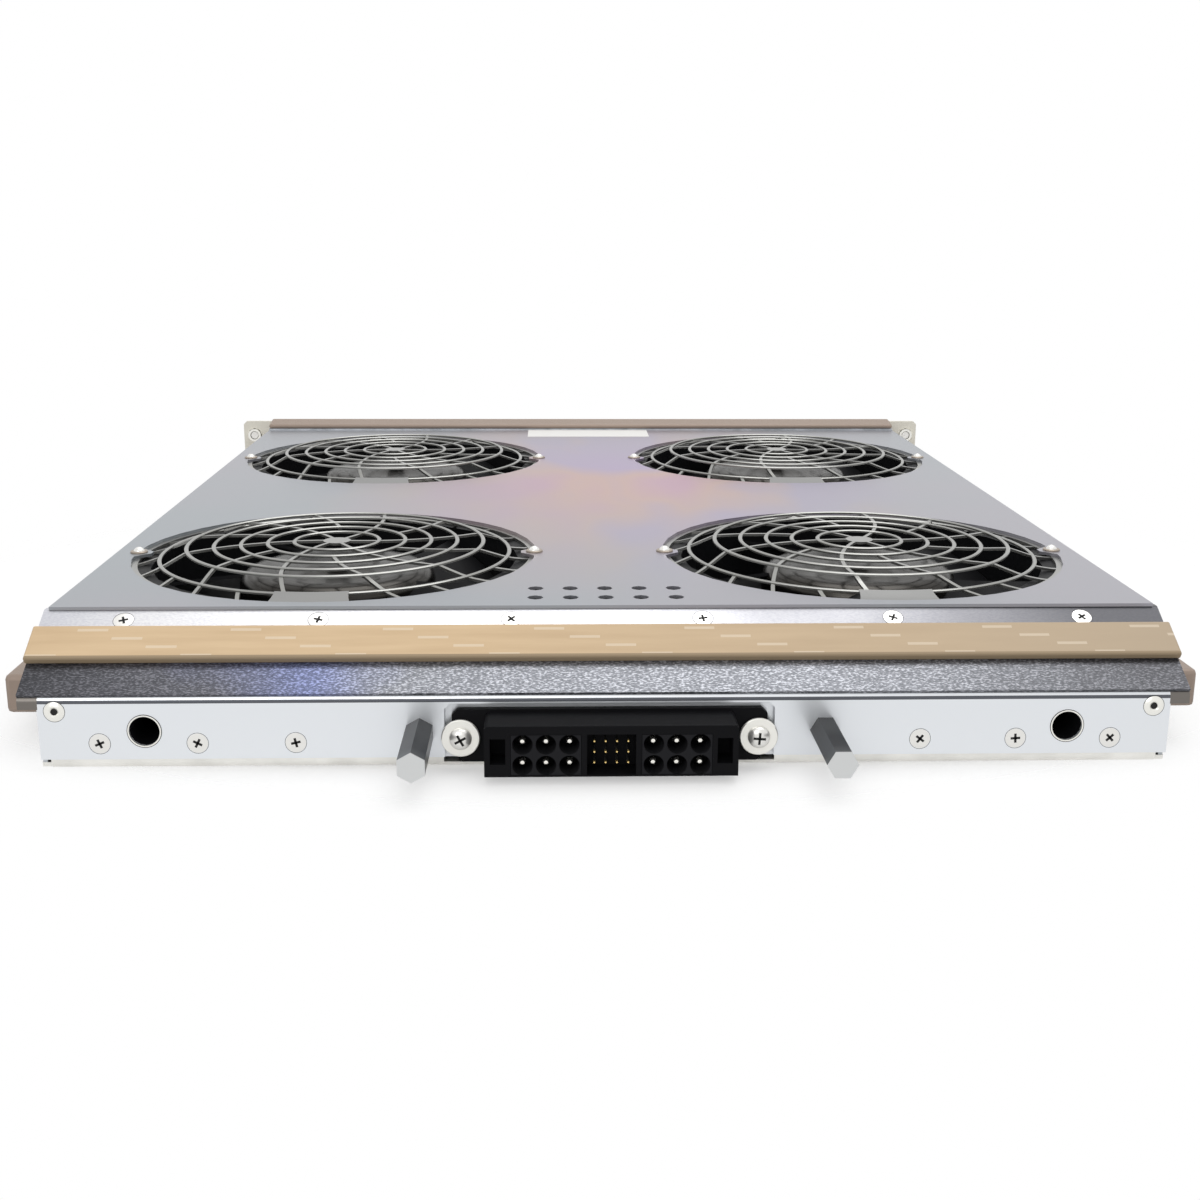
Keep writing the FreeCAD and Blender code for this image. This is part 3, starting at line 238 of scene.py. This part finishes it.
# %% [markdown]
# ## Plastics, plated metals and soft strips
# The rest are plain finishes. Each gets a colour, a roughness and little else, because they cover small
# pieces. The soft strips have a weave, so a fine wave bumps their surface.


# %% Other finishes
def woven(name, colour):
    """Conductive fabric over foam: a fine weave with a slight sheen."""
    cloth = Finish(name, colour, roughness=0.48, metallic=0.35)
    threads = cloth.node("ShaderNodeTexWave", None,
                         {"Vector": cloth.place(turn=(0, 0, 0.7)), "Scale": 900.0,
                          "Distortion": 1.0}, output=1)
    cloth.bump(threads, 0.25)
    return cloth.material


def kraft_strip():
    """Tan paper-faced strip: pale staggered dashes, painted shade towards its right end, and painted shade on
    the face along its lower edge.
    """
    paper = Finish("kraft_strip", (0.56, 0.41, 0.25), roughness=0.75)
    along, back = paper.axis(0), paper.axis(1)
    rows = (back + 1.0) * 285.0
    row = paper.node("ShaderNodeMath", {"operation": "FLOOR"}, {0: rows})
    run = paper.node("ShaderNodeMath", {"operation": "FRACT"}, {0: (along + 1.0) * 18.9 + row * 0.236})
    across = paper.node("ShaderNodeMath", {"operation": "FRACT"}, {0: rows})
    dash = (run > 0.80) * (across > 0.34) * (0.64 - across > 0.0)
    fibre_and_shade = paper.ramp(paper.noise(60.0, 4.0, (0.4, 4, 4)),
                       [(0.3, (0.55, 0.395, 0.235)), (0.7, (0.63, 0.465, 0.285))])
    # Painted shade: the paper darkens towards the strip's right end.
    fibre_and_shade = paper.blend(paper.ramp(along + 0.5, [(0.45, (0, 0, 0)), (0.72, (1, 1, 1))]), fibre_and_shade,
                        (0.42, 0.335, 0.24, 1))
    printed = paper.blend(dash * 0.5, fibre_and_shade, (0.74, 0.64, 0.50, 1))
    # Painted shade on the strip's lower face.
    paper.feed("Base Color", paper.blend(-0.22985 - back > 0.0, printed, (0.30, 0.225, 0.14, 1)))
    return paper.material


def standing_post():
    """Turned steel with a painted reflection of the dark beside the wall along its side, and a pale end face.
    """
    steel = Finish("post_steel", (0.4, 0.4, 0.4), roughness=0.3, metallic=0.8, **DULL)
    # Painted reflection: the post's side is painted near black, and only its end face keeps a pale steel
    # colour.
    steel.feed("Base Color", steel.ramp((-0.242 - steel.axis(1)) * 29.0, [
        (0.0, (0.004, 0.0045, 0.005)), (0.45, (0.014, 0.016, 0.018)), (0.8, (0.04, 0.044, 0.05)),
        (0.975, (0.10, 0.108, 0.117)), (0.984, (0.62, 0.63, 0.63))]))
    return steel.material


FABRIC = woven("gasket_fabric", (0.31, 0.24, 0.195))
KRAFT = kraft_strip()
GUARD_STEEL = Finish("guard_steel", (0.31, 0.31, 0.295), roughness=0.28, metallic=0.85).material
# The end tabs are the same sheet as the guard's bars; their darker copy of the guard steel is painted shade.
SHADED_TAB_STEEL = Finish("tab_steel_shaded", (0.27, 0.27, 0.265), roughness=0.35, metallic=0.75).material
ROTOR_METAL = Finish("rotor_metal", (0.045, 0.042, 0.038), roughness=0.24, metallic=0.9).material
BLACK = Finish("black_plastic", (0.006, 0.006, 0.007), roughness=0.55, **DULL).material
CHARCOAL = Finish("charcoal_face", (0.016, 0.016, 0.018), roughness=0.6, **DULL).material
FAN_BLACK = Finish("fan_black", (0.009, 0.009, 0.010), roughness=0.42, **DULL).material
# Painted shade: near black for recesses, seats, holes and outlines of small parts.
RECESS_SHADE = Finish("painted_recess_shade", (0.006, 0.006, 0.006), roughness=0.8).material
SCREW = Finish("screw_zinc", (0.80, 0.79, 0.76), roughness=0.3, metallic=0.7).material
POST = standing_post()
SILVER = Finish("silver_pin", (0.90, 0.88, 0.82), roughness=0.2, metallic=0.9).material
GOLD = Finish("gold_pin", (0.85, 0.62, 0.25), roughness=0.22, metallic=0.9).material
BRONZE = Finish("bronze_sleeve", (0.55, 0.38, 0.18), roughness=0.4, metallic=0.9).material
BROWN = Finish("washer_brown", (0.34, 0.29, 0.24), roughness=0.4, metallic=0.6).material
CREAM = Finish("cream_paint", (0.78, 0.75, 0.66), roughness=0.45).material
LABEL = Finish("label_paper", (0.74, 0.73, 0.71), roughness=0.6).material
BOARD = Finish("board_green", (0.03, 0.14, 0.07), roughness=0.45).material
print("finishes", len(bpy.data.materials))

# %% [markdown]
# ## Dress the CAD nodes
# Each CAD node that stays visible takes the finish of its material. A node keeps its mesh: only the
# material slot changes, so the solid and the picture stay the same shape.

# %% Finish of each node
DRESS = {"top_cover": ZINC_COVER, "bottom_pan": ZINC_PAN, "side_panel_left": ZINC_SIDE,
         "side_panel_right": ZINC_SIDE, "rear_panel": ZINC_WALL, "gasket_bracket": ZINC_STRIP,
         "front_angle": ZINC_SIDE, "front_panel": CREAM, "connector_plate": ZINC_PLATE,
         "connector_body": BLACK, "connector_washers": BRIGHT_ZINC, "connector_bushings": BRIGHT_ZINC,
         "hex_posts": POST, "guide_block_left": BLACK, "guide_block_right": BLACK,
         "control_board": BOARD, "board_pillars": BRIGHT_ZINC, "board_parts": BLACK,
         "cover_label": LABEL, "fan_bearings": BRONZE, "handle_left": BRIGHT_ZINC,
         "handle_right": BRIGHT_ZINC, "captive_ferrules": BRIGHT_ZINC, "fan_screws": SCREW,
         "connector_screws": SCREW, "power_pins": SILVER, "signal_pins": GOLD}
for name, node in NODES.items():
    finish = DRESS.get(name, FAN_BLACK if name.startswith(("fan_housing", "fan_motor")) else None)
    if finish is not None:
        node.data.materials.clear()
        node.data.materials.append(finish)
print("dressed", len(DRESS), "nodes")

# %% [markdown]
# ## A piece from a bmesh
# Every new piece is built at its own place in the frame, its object at the origin. One helper turns a
# bmesh into an object, recalculates its normals, softens its edges with a Bevel modifier, and lets it
# ride on a CAD body.


# %% Piece helper
def finish_piece(name, shape, finishes, body="tray", stands_for=(), bevel=0.0, flat=35):
    """Makes an object from a bmesh, in metres, and hands it to the frame."""
    bmesh.ops.recalc_face_normals(shape, faces=shape.faces[:])
    mesh = bpy.data.meshes.new(name)
    shape.to_mesh(mesh)
    shape.free()
    for finish in finishes:
        mesh.materials.append(finish)
    mesh.shade_smooth()
    mesh.set_sharp_from_angle(angle=math.radians(flat))
    piece = bpy.data.objects.new(name, mesh)
    bpy.context.scene.collection.objects.link(piece)
    if bevel:
        soft = piece.modifiers.new("soft_edges", "BEVEL")
        soft.width = bevel
        soft.segments = 2
        soft.limit_method = "ANGLE"
    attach(piece, body)
    if stands_for:
        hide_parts(*stands_for)
    return piece


def moved(shape, geometry, matrix):
    """Transforms the vertices of some new geometry."""
    bmesh.ops.transform(shape, matrix=matrix, verts=geometry)


def add_box(shape, low, high, index=0):
    """A box between two corners in millimetres."""
    made = bmesh.ops.create_cube(shape, size=1.0)["verts"]
    middle = [(a + b) / 2 * MM for a, b in zip(low, high)]
    spread = [(b - a) * MM for a, b in zip(low, high)]
    moved(shape, made, Matrix.Translation(middle) @ Matrix.Diagonal((*spread, 1)))
    for face in {face for vert in made for face in vert.link_faces}:
        face.material_index = index
    return made


TO_REAR = Matrix.Rotation(math.radians(90), 4, "X")
TO_FRONT = Matrix.Rotation(math.radians(-90), 4, "X")


def add_turned(shape, profile, place, steps=32, turn=None, index=0):
    """Spins a profile of (radius, height) in millimetres, then stands it at a place."""
    verts = [shape.verts.new((r * MM, 0, z * MM)) for r, z in profile]
    edges = [shape.edges.new(pair) for pair in zip(verts, verts[1:])]
    bmesh.ops.spin(shape, geom=verts + edges, cent=(0, 0, 0), axis=(0, 0, 1), dvec=(0, 0, 0),
                   angle=2 * math.pi, steps=steps, use_merge=True)
    made = [v for v in shape.verts if v.tag is False]
    bmesh.ops.remove_doubles(shape, verts=made, dist=1e-6)
    made = [v for v in shape.verts if v.tag is False]
    for face in shape.faces:
        if not face.tag:
            face.material_index = index
            face.tag = True
    moved(shape, made, Matrix.Translation([c * MM for c in place]) @ (turn or Matrix()))
    for vert in made:
        vert.tag = True
    return made


print("piece helper ready")

# %% [markdown]
# ## Finger guards
# Each guard is stamped from sheet: concentric bars joined by swept ribs, domed so that it stands above
# the cover. A ring is a small section spun round the axis. A rib starts as a flat grid that is bent
# along an arc and lifted on to the dome, then gets its thickness from Solidify. Six ribs leave the hub,
# six more start at the second ring, and short ones fill the outer band. One function builds every
# guard, which keeps the four alike.

# %% Guard shape
RINGS = [17.2, 27.9, 38.6, 49.3, 60.0, 70.7]
DOME = [(0, 54.0), (60.5, 53.1), (71.2, 48.9), (79.0, 47.3), (90.0, 47.3)]
COVER_TOP, SHEET, RIBS, HALF_BAR, RIB_END = 48.5, 1.0, 6, 0.75, 81.0
RIB_CURVE, FIRST_RIB = 154.0, math.radians(234.5)


def dome(radius):
    """Height of the guard's upper face: a flat crown, a steep skirt and a flat rim, in millimetres."""
    for (near, high), (far, low) in zip(DOME, DOME[1:]):
        if radius <= far:
            return high + (low - high) * (radius - near) / (far - near)
    return DOME[-1][1]


def rib_point(start, radius, side):
    """A point of a swept rib: an arc that leaves the centre at one angle and swings round."""
    swing = math.asin(radius / RIB_CURVE)
    angle = start + swing
    across = angle + math.pi / 2 + swing
    x = radius * math.cos(angle) + side * math.cos(across)
    y = radius * math.sin(angle) + side * math.sin(across)
    return x, y


def add_rib(shape, start, low, high, half):
    """One rib from a grid laid along its arc."""
    steps = max(3, round((high - low) / 4))
    made = bmesh.ops.create_grid(shape, x_segments=steps, y_segments=1, size=1.0)["verts"]
    for vert in made:
        radius = low + (vert.co.x + 1) / 2 * (high - low)
        x, y = rib_point(start, radius, vert.co.y * half)
        vert.co = Vector((x, y, dome(math.hypot(x, y)) - SHEET / 2)) * MM
    return list({face for vert in made for face in vert.link_faces})


def build_guard():
    """Rings, ribs, hub, two end tabs and the rim of one guard."""
    shape = bmesh.new()
    faces = []
    start, step = FIRST_RIB, math.tau / RIBS
    for k in range(RIBS):
        faces += add_rib(shape, start + k * step, 4.5, RIB_END, HALF_BAR)
        faces += add_rib(shape, start + (k + 0.5) * step, RINGS[1], RIB_END, HALF_BAR)
    for k in range(2 * RIBS):
        turn = start + (k + 0.5) * step / 2
        facing = turn + math.asin(RINGS[-1] / RIB_CURVE)
        if abs(math.cos(facing)) > 0.2:
            faces += add_rib(shape, turn, RINGS[-1], RIB_END, HALF_BAR)
    for side in (-1, 1):
        made = bmesh.ops.create_grid(shape, x_segments=10, y_segments=4, size=1.0)["verts"]
        for vert in made:
            reach = (vert.co.y + 1) / 2
            across, radius = vert.co.x * (13.6 + 1.8 * reach ** 2), RINGS[-1] + reach * 11.0
            y = side * math.sqrt(max(radius ** 2 - across ** 2, 1))
            vert.co = Vector((across, y, dome(radius) - SHEET / 2)) * MM
        tab = list({face for vert in made for face in vert.link_faces})
        for face in tab:
            face.material_index = 1
        faces += tab
    hub = bmesh.ops.create_circle(shape, cap_ends=True, segments=28, radius=5.6 * MM)["verts"]
    moved(shape, hub, Matrix.Translation((0, 0, (dome(5) - SHEET / 2) * MM)))
    faces += list({face for vert in hub for face in vert.link_faces})
    bmesh.ops.solidify(shape, geom=faces, thickness=SHEET * MM)
    for vert in shape.verts:
        vert.tag = True
    for face in shape.faces:
        face.tag = True
    for radius in RINGS:
        half, high = HALF_BAR + 0.05, dome(radius)
        profile = [(radius - half, high - SHEET), (radius + half, high - SHEET), (radius + half, high - 0.35),
                   (radius + 0.35, high), (radius - 0.35, high + 0.03), (radius - half, high - 0.3),
                   (radius - half, high - SHEET)]
        add_turned(shape, profile, (0, 0, 0), steps=96)
    rim = [(79.2, 47.25), (79.2, 46.15), (84.0, 46.15), (84.0, 47.25), (79.2, 47.25)]
    add_turned(shape, rim, (0, 0, 0), steps=96)
    return shape


FANS = [(-108, -120), (108, -120), (-108, 120), (108, 120)]
for count, (x, y) in enumerate(FANS, start=1):
    shape = build_guard()
    bmesh.ops.translate(shape, verts=shape.verts[:], vec=(x * MM, y * MM, 0))
    finish_piece(f"guard_grille_{count}", shape, [GUARD_STEEL, SHADED_TAB_STEEL], stands_for=[f"fan_guard_{count}"])
print("guards", len(FANS), "rings each", len(RINGS))

# %% [markdown]
# ## Rotor cups and blades
# The cup that turns is pressed from dark plated steel: its rounded shoulder catches a bright line of
# light. A profile spun round the axis gives it. The blades are plastic, wide and swept, so each is a
# grid bent into a warped sheet and given its thickness.


# %% Impellers
def add_blade(shape, start, low=38.5, high=71.3):
    """A warped blade between two radii."""
    made = bmesh.ops.create_grid(shape, x_segments=8, y_segments=10, size=1.0)["verts"]
    for vert in made:
        radius = low + (vert.co.x + 1) / 2 * (high - low)
        along = vert.co.y
        lean = 0.18 * (radius - low) / (high - low)
        angle = start + along * 0.42 + lean
        level = 29.0 + along * 11.5 + 1.5 * (1 - along * along)
        vert.co = Vector((radius * math.cos(angle), radius * math.sin(angle), level)) * MM
    return list({face for vert in made for face in vert.link_faces})


def build_impeller():
    """Cup, shaft and five blades of one fan."""
    shape = bmesh.new()
    faces = []
    for k in range(5):
        faces += add_blade(shape, math.radians(20) + k * math.tau / 5)
    for face in faces:
        face.material_index = 1
    bmesh.ops.solidify(shape, geom=faces, thickness=1.4 * MM)
    for vert in shape.verts:
        vert.tag = True
    for face in shape.faces:
        face.tag = True
    cup = [(0, 43.4), (12, 43.4), (13, 42.9), (30, 42.9), (34, 42.6), (37, 41.6), (39.2, 39.6), (39.9, 37),
           (39.9, 14.8), (36.6, 14.8), (36.6, 39.0), (3.0, 39.6), (3.0, 14.2), (0, 14.2)]
    add_turned(shape, cup, (0, 0, 0), steps=72)
    return shape


for count, (x, y) in enumerate(FANS, start=1):
    shape = build_impeller()
    bmesh.ops.translate(shape, verts=shape.verts[:], vec=(x * MM, y * MM, 0))
    finish_piece(f"rotor_{count}", shape, [ROTOR_METAL, FAN_BLACK], body=f"impeller_{count}",
                 stands_for=[f"fan_impeller_{count}"], flat=50)
print("impellers", len(FANS))

# %% [markdown]
# ## Soft strips
# The tan strip and the taupe fabric strips are foam. A box with well rounded long edges reads as soft,
# so each is one box, tapered or turned where needed, with a wide bevel.

# %% Gaskets
SLOPE = math.radians(30)
SLOPE_Y, SLOPE_Z = -207.36, 47.0


def on_slope(distance, lift):
    """A point down the sloping strip, lifted square to it, in millimetres."""
    return (SLOPE_Y - distance * math.cos(SLOPE) - lift * math.sin(SLOPE),
            SLOPE_Z - distance * math.sin(SLOPE) + lift * math.cos(SLOPE))


def strip_between(name, half_length, section, finish, node, bevel):
    """A straight strip along X whose end section is a list of (Y, Z) corners."""
    shape = bmesh.new()
    corners = [shape.verts.new((-half_length * MM, y * MM, z * MM)) for y, z in section]
    end = shape.faces.new(corners)
    grown = bmesh.ops.extrude_face_region(shape, geom=[end])["geom"]
    far = [item for item in grown if isinstance(item, bmesh.types.BMVert)]
    bmesh.ops.translate(shape, verts=far, vec=(2 * half_length * MM, 0, 0))
    return finish_piece(name, shape, [finish], stands_for=[node], bevel=bevel * MM)


tan = [on_slope(9.8, 0.05), on_slope(25.8, 0.05), on_slope(25.8, 2.8), on_slope(9.8, 2.8)]
strip_between("tan_strip", 200.7, tan, KRAFT, "rear_gasket", 0.7)
bar = [(228.2, 49.55), (241.6, 49.55), (241.6, 54.1), (228.2, 51.9)]
strip_between("front_bar", 198.1, bar, FABRIC, "front_gasket", 0.9)
for side, sign in (("left", -1), ("right", 1)):
    shape = bmesh.new()
    xs = sorted((sign * 198.2, sign * 211.1))
    add_box(shape, (xs[0], -221.7, 13.65), (xs[1], 241.6, 27.55))
    finish_piece(f"side_strip_{side}", shape, [FABRIC], stands_for=[f"side_gasket_{side}"],
                 bevel=1.8 * MM)
print("gaskets 4")

# %% [markdown]
# ## Screws, washers and rivets
# Small fasteners repeat, so each kind is one function that adds a fastener to a shared bmesh. A head is
# a turned profile; its cross recess is a pair of thin bars on the head, painted dark as its shade.


# %% Fasteners
def add_cross(shape, place, turn, reach, width, depth=0.25, spin=0.6):
    """A cross recess as two bars of painted shade just proud of the head."""
    for quarter in (0, 1):
        made = bmesh.ops.create_cube(shape, size=1.0)["verts"]
        spread = Matrix.Diagonal((2 * reach * MM, width * MM, depth * MM, 1))
        angle = Matrix.Rotation(spin + quarter * math.pi / 2, 4, "Z")
        moved(shape, made, Matrix.Translation([c * MM for c in place]) @ turn @ angle @ spread)
        for vert in made:
            vert.tag = True
        for face in {face for vert in made for face in vert.link_faces}:
            face.material_index = 1
            face.tag = True


def add_flat_screw(shape, place, turn, spin):
    """A countersunk head in a ring of painted shade for its seat, with a cross recess."""
    add_turned(shape, [(0, 0.12), (2.9, 0.12), (3.5, 0.04), (3.6, -0.3), (0, -0.3)], place, turn=turn)
    seat = [(3.6, 0.03), (3.73, 0.03), (3.73, -0.3), (3.6, -0.3), (3.6, 0.03)]
    add_turned(shape, seat, place, turn=turn, index=1)
    add_cross(shape, Vector(place) + turn @ Vector((0, 0, 0.07)), turn, 1.65, 0.82, spin=spin)


SLOPE_UP = Matrix.Rotation(SLOPE, 4, "X")
shape = bmesh.new()
for k in range(6):
    add_flat_screw(shape, ((k - 2.5) * 68.4, *on_slope(4.7, 0.0)), SLOPE_UP, 0.3 + k)
finish_piece("slope_screws", shape, [SCREW, RECESS_SHADE])

shape = bmesh.new()
for k, x in enumerate((-173.3, -140.3, -107.1, 107.1, 140.3, 173.3)):
    add_flat_screw(shape, (x, -242.0, 9.6), TO_REAR, 0.4 + 0.7 * k)
finish_piece("wall_screws", shape, [SCREW, RECESS_SHADE])

shape = bmesh.new()
for x in (-187.7, 187.7):
    add_turned(shape, [(1.2, -0.8), (1.2, 0.3), (1.7, 0.75), (2.7, 0.7), (3.5, 0.1), (3.55, -0.2),
                       (1.2, -0.2)],
               (x, -242.0, 21.1), turn=TO_REAR)
    # Painted shade: a dark disc for the rivet's hollow and a dark outline round its head.
    for dark in ([(0, 0.02), (1.25, 0.02), (1.25, -0.4), (0, -0.4)],
                 [(3.55, 0.03), (3.68, 0.03), (3.68, -0.3), (3.55, -0.3), (3.55, 0.03)]):
        add_turned(shape, dark, (x, -242.0, 21.1), turn=TO_REAR, index=1)
finish_piece("corner_rivets", shape, [BRIGHT_ZINC, RECESS_SHADE])

shape = bmesh.new()
for x in (-158, 158):
    # Each collar is a bright ring with a thin outer ring of painted shadow.
    for inner, outer, index in ((5.2, 5.7, 0), (5.7, 5.9, 1)):
        collar = [(inner, 0.15), (outer, 0.15), (outer, -0.1), (inner, -0.1), (inner, 0.15)]
        add_turned(shape, collar, (x, -242.0, 14.0), steps=40, turn=TO_REAR, index=index)
finish_piece("guide_collars", shape, [BRIGHT_ZINC, RECESS_SHADE])

shape = bmesh.new()
for x, y in FANS:
    for side in (-1, 1):
        at = (x + side * 81, y, COVER_TOP)
        add_turned(shape, [(1.6, 0), (3.5, 0), (3.5, 0.5), (3.2, 0.75), (1.6, 0.75), (1.6, 0)], at, index=1)
        add_turned(shape, [(0, 2.3), (0.8, 2.2), (1.5, 1.75), (2.1, 1.1), (2.25, 0.7), (0, 0.7)], at)
finish_piece("fan_screw_heads", shape, [SCREW, BROWN], stands_for=["fan_screws"])
print("fasteners ready")

# %% [markdown]
# ## Connector
# The blind-mate connector is a black moulding. Its power contacts stand in round sockets, so each gets a
# thin tube; the signal contacts stand in an open well. Two broad washers under pan-head screws hold its
# ears with room to float.

# %% Contacts, washers and screws
LEVEL = 11.3 - 1.2
shape = bmesh.new()
for side in (-1, 1):
    for column in (-1, 0, 1):
        for row in (-1, 1):
            at = (side * 21.9 + column * 7.9, -247.4, LEVEL + row * 3.75)
            add_turned(shape, [(0, 0), (1.15, 0), (1.15, 6.0), (0.7, 6.8), (0, 7.0)], at, steps=20,
                       turn=TO_REAR)
finish_piece("power_contacts", shape, [SILVER], body="connector_float", stands_for=["power_pins"])
shape = bmesh.new()
for side in (-1, 1):
    middle = side * 21.9
    plate = [shape.verts.new((x * MM, -257.28 * MM, z * MM)) for x, z in
             ((middle - 11.7, LEVEL - 7), (middle + 11.7, LEVEL - 7), (middle + 11.7, LEVEL + 7),
              (middle - 11.7, LEVEL + 7))]
    edges = [shape.edges.new(pair) for pair in zip(plate, plate[1:] + plate[:1])]
    for column in (-1, 0, 1):
        for row in (-1, 1):
            x, z = middle + column * 7.8, LEVEL + row * 3.65
            ring = bmesh.ops.create_circle(shape, segments=32, radius=3.45 * MM)["verts"]
            moved(shape, ring, Matrix.Translation((x * MM, -257.28 * MM, z * MM)) @ TO_REAR)
            edges += list({edge for vert in ring for edge in vert.link_edges})
    faces = bmesh.ops.triangle_fill(shape, use_beauty=True, edges=edges)["geom"]
    faces = [item for item in faces if isinstance(item, bmesh.types.BMFace)]
    grown = bmesh.ops.extrude_face_region(shape, geom=faces)["geom"]
    deep = [item for item in grown if isinstance(item, bmesh.types.BMVert)]
    bmesh.ops.translate(shape, verts=deep, vec=(0, 9.5 * MM, 0))
finish_piece("power_sockets", shape, [CHARCOAL], body="connector_float")
shape = bmesh.new()
for column in range(4):
    for row in (-1, 0, 1):
        at = ((column - 1.5) * 3.8, -247.4, LEVEL + row * 3.75)
        # Each pin's shank is painted dark as the well's shade; its tip is gold.
        add_turned(shape, [(0, 0), (0.4, 0), (0.4, 5.9), (0, 5.9)], at, steps=12, turn=TO_REAR, index=1)
        add_turned(shape, [(0, 5.9), (0.5, 5.9), (0.5, 6.5), (0.3, 7.0), (0, 7.0)], at, steps=12,
                   turn=TO_REAR)
finish_piece("signal_contacts", shape, [GOLD, RECESS_SHADE], body="connector_float", stands_for=["signal_pins"])

shape = bmesh.new()
for x in (-51, 51):
    add_turned(shape, [(2.2, 0), (6.3, 0), (6.6, 0.25), (6.6, 0.95), (6.3, 1.2), (2.2, 1.2), (2.2, 0)],
               (x, -242.6, 11.3), steps=48, turn=TO_REAR)
finish_piece("float_washers", shape, [BRIGHT_ZINC], stands_for=["connector_washers"])
shape = bmesh.new()
for k, x in enumerate((-51, 51)):
    add_turned(shape, [(0, 2.35), (1.6, 2.3), (2.9, 1.9), (3.7, 1.1), (3.85, 0.3), (3.85, 0.02), (0, 0.02)],
               (x, -243.8, 11.3), steps=40, turn=TO_REAR)
    add_cross(shape, (x, -246.1, 11.3), TO_REAR, 2.1, 0.8, depth=0.3, spin=0.5 + k)
finish_piece("float_screws", shape, [SCREW, RECESS_SHADE], stands_for=["connector_screws"])
print("connector dressed")

# %% [markdown]
# ## Captive screws
# A captive screw is a round knob on a shank that slides in a ferrule. Both are turned parts, so one
# profile spun round the screw's axis makes each.

# %% Knobs and ferrules
for level, z in (("low", 8.9), ("high", 43.4)):
    for side, x in (("left", -210.0), ("right", 210.0)):
        shape = bmesh.new()
        knob = [(0, 17.0), (6.0, 17.0), (6.9, 16.2), (6.9, 8.3), (6.6, 7.8), (5.2, 7.8), (5.2, 14.0),
                (2.5, 14.0), (2.5, -2.4), (2.2, -3.0), (0, -3.0)]
        add_turned(shape, [(r, h - 0.2) for r, h in knob], (x, 244.2, z), steps=40, turn=TO_FRONT)
        finish_piece(f"knob_{level}_{side}", shape, [SCREW], body=f"captive_{level}_{side}",
                     stands_for=[f"captive_screw_{level}_{side}"])
shape = bmesh.new()
for x in (-210.0, 210.0):
    for z in (8.9, 43.4):
        ferrule = [(2.6, -4.0), (4.0, -4.0), (4.0, 0.0), (4.65, 0.0), (4.65, 6.7), (4.3, 7.0), (2.6, 7.0),
                   (2.6, -4.0)]
        add_turned(shape, ferrule, (x, 244.5, z), steps=32, turn=TO_FRONT)
finish_piece("ferrules", shape, [BRIGHT_ZINC], stands_for=["captive_ferrules"])
print("captive screws 4")

# %% [markdown]
# ## Floor, light and camera
# A pale floor and a white world give plain studio light. The world shows pure white to the camera and to
# reflections, but lights the part at a lower level, so nothing clips. The camera stands low behind the
# connector end and looks slightly down.

# %% Floor and world
bpy.ops.mesh.primitive_plane_add(size=30, location=(0, 0, -0.0006))
floor = bpy.context.object
floor.name = "floor"
pale = Finish("floor_pale", (0.94, 0.94, 0.94), roughness=0.9)
spot = pale.node("ShaderNodeTexCoord", output=3)
spot = pale.node("ShaderNodeVectorMath", {"operation": "MULTIPLY"}, {0: spot, 1: (2.4, 2.9, 0.0)})
spot = pale.node("ShaderNodeVectorMath", {"operation": "LENGTH"}, {0: spot}, output=1)
pale.feed("Alpha", pale.ramp(spot, [(0.62, (1, 1, 1)), (0.86, (0, 0, 0))]))
floor.data.materials.append(pale.material)
world = bpy.data.worlds.new("studio")
bpy.context.scene.world = world
world.use_nodes = True
tree = world.node_tree
background = tree.nodes["Background"]
background.inputs["Color"].default_value = (1, 1, 1, 1)
rays = tree.nodes.new("ShaderNodeLightPath")
seen = tree.nodes.new("ShaderNodeMath")
seen.operation = "MAXIMUM"
tree.links.new(rays.outputs["Is Camera Ray"], seen.inputs[0])
tree.links.new(rays.outputs["Is Glossy Ray"], seen.inputs[1])
strength = tree.nodes.new("ShaderNodeMapRange")
strength.inputs["To Min"].default_value = 0.62
strength.inputs["To Max"].default_value = 1.0
tree.links.new(seen.outputs[0], strength.inputs["Value"])
tree.links.new(strength.outputs["Result"], background.inputs["Strength"])
print("world", world.name)


# %% Lamps
def softbox(name, place, aim, size, power):
    """A square area lamp that faces a point."""
    lamp = bpy.data.lights.new(name, "AREA")
    lamp.shape = "SQUARE"
    lamp.size = size
    lamp.energy = power
    holder = bpy.data.objects.new(name, lamp)
    bpy.context.scene.collection.objects.link(holder)
    holder.location = place
    holder.rotation_euler = (Vector(aim) - Vector(place)).to_track_quat("-Z", "Y").to_euler()
    return holder


softbox("overhead", (0.3, 0.2, 1.7), (0, 0, 0), 1.4, 16)
softbox("front_fill", (-0.5, -1.6, 0.9), (0, -0.2, 0.03), 1.0, 7)
print("lamps 2")

# %% Camera
yaw, pitch, roll = math.radians(1.85), math.radians(14.61), math.radians(-0.27)
forward = Vector((math.sin(yaw) * math.cos(pitch), math.cos(yaw) * math.cos(pitch), -math.sin(pitch)))
right = Vector((math.cos(yaw), -math.sin(yaw), 0))
down = forward.cross(right)
tilted_right = right * math.cos(roll) + down * math.sin(roll)
tilted_down = forward.cross(tilted_right)
eye = bpy.data.cameras.new("camera")
eye.lens, eye.sensor_width = 45.51, 36.0
camera = bpy.data.objects.new("camera", eye)
bpy.context.scene.collection.objects.link(camera)
camera.matrix_world = Matrix.Translation((-0.0195, -0.733, 0.1875)) @ Matrix(
    (tilted_right, -tilted_down, -forward)).transposed().to_4x4()
bpy.context.scene.camera = camera
bpy.context.scene.view_settings.view_transform = "Standard"
print("camera at", [round(v, 3) for v in camera.location])
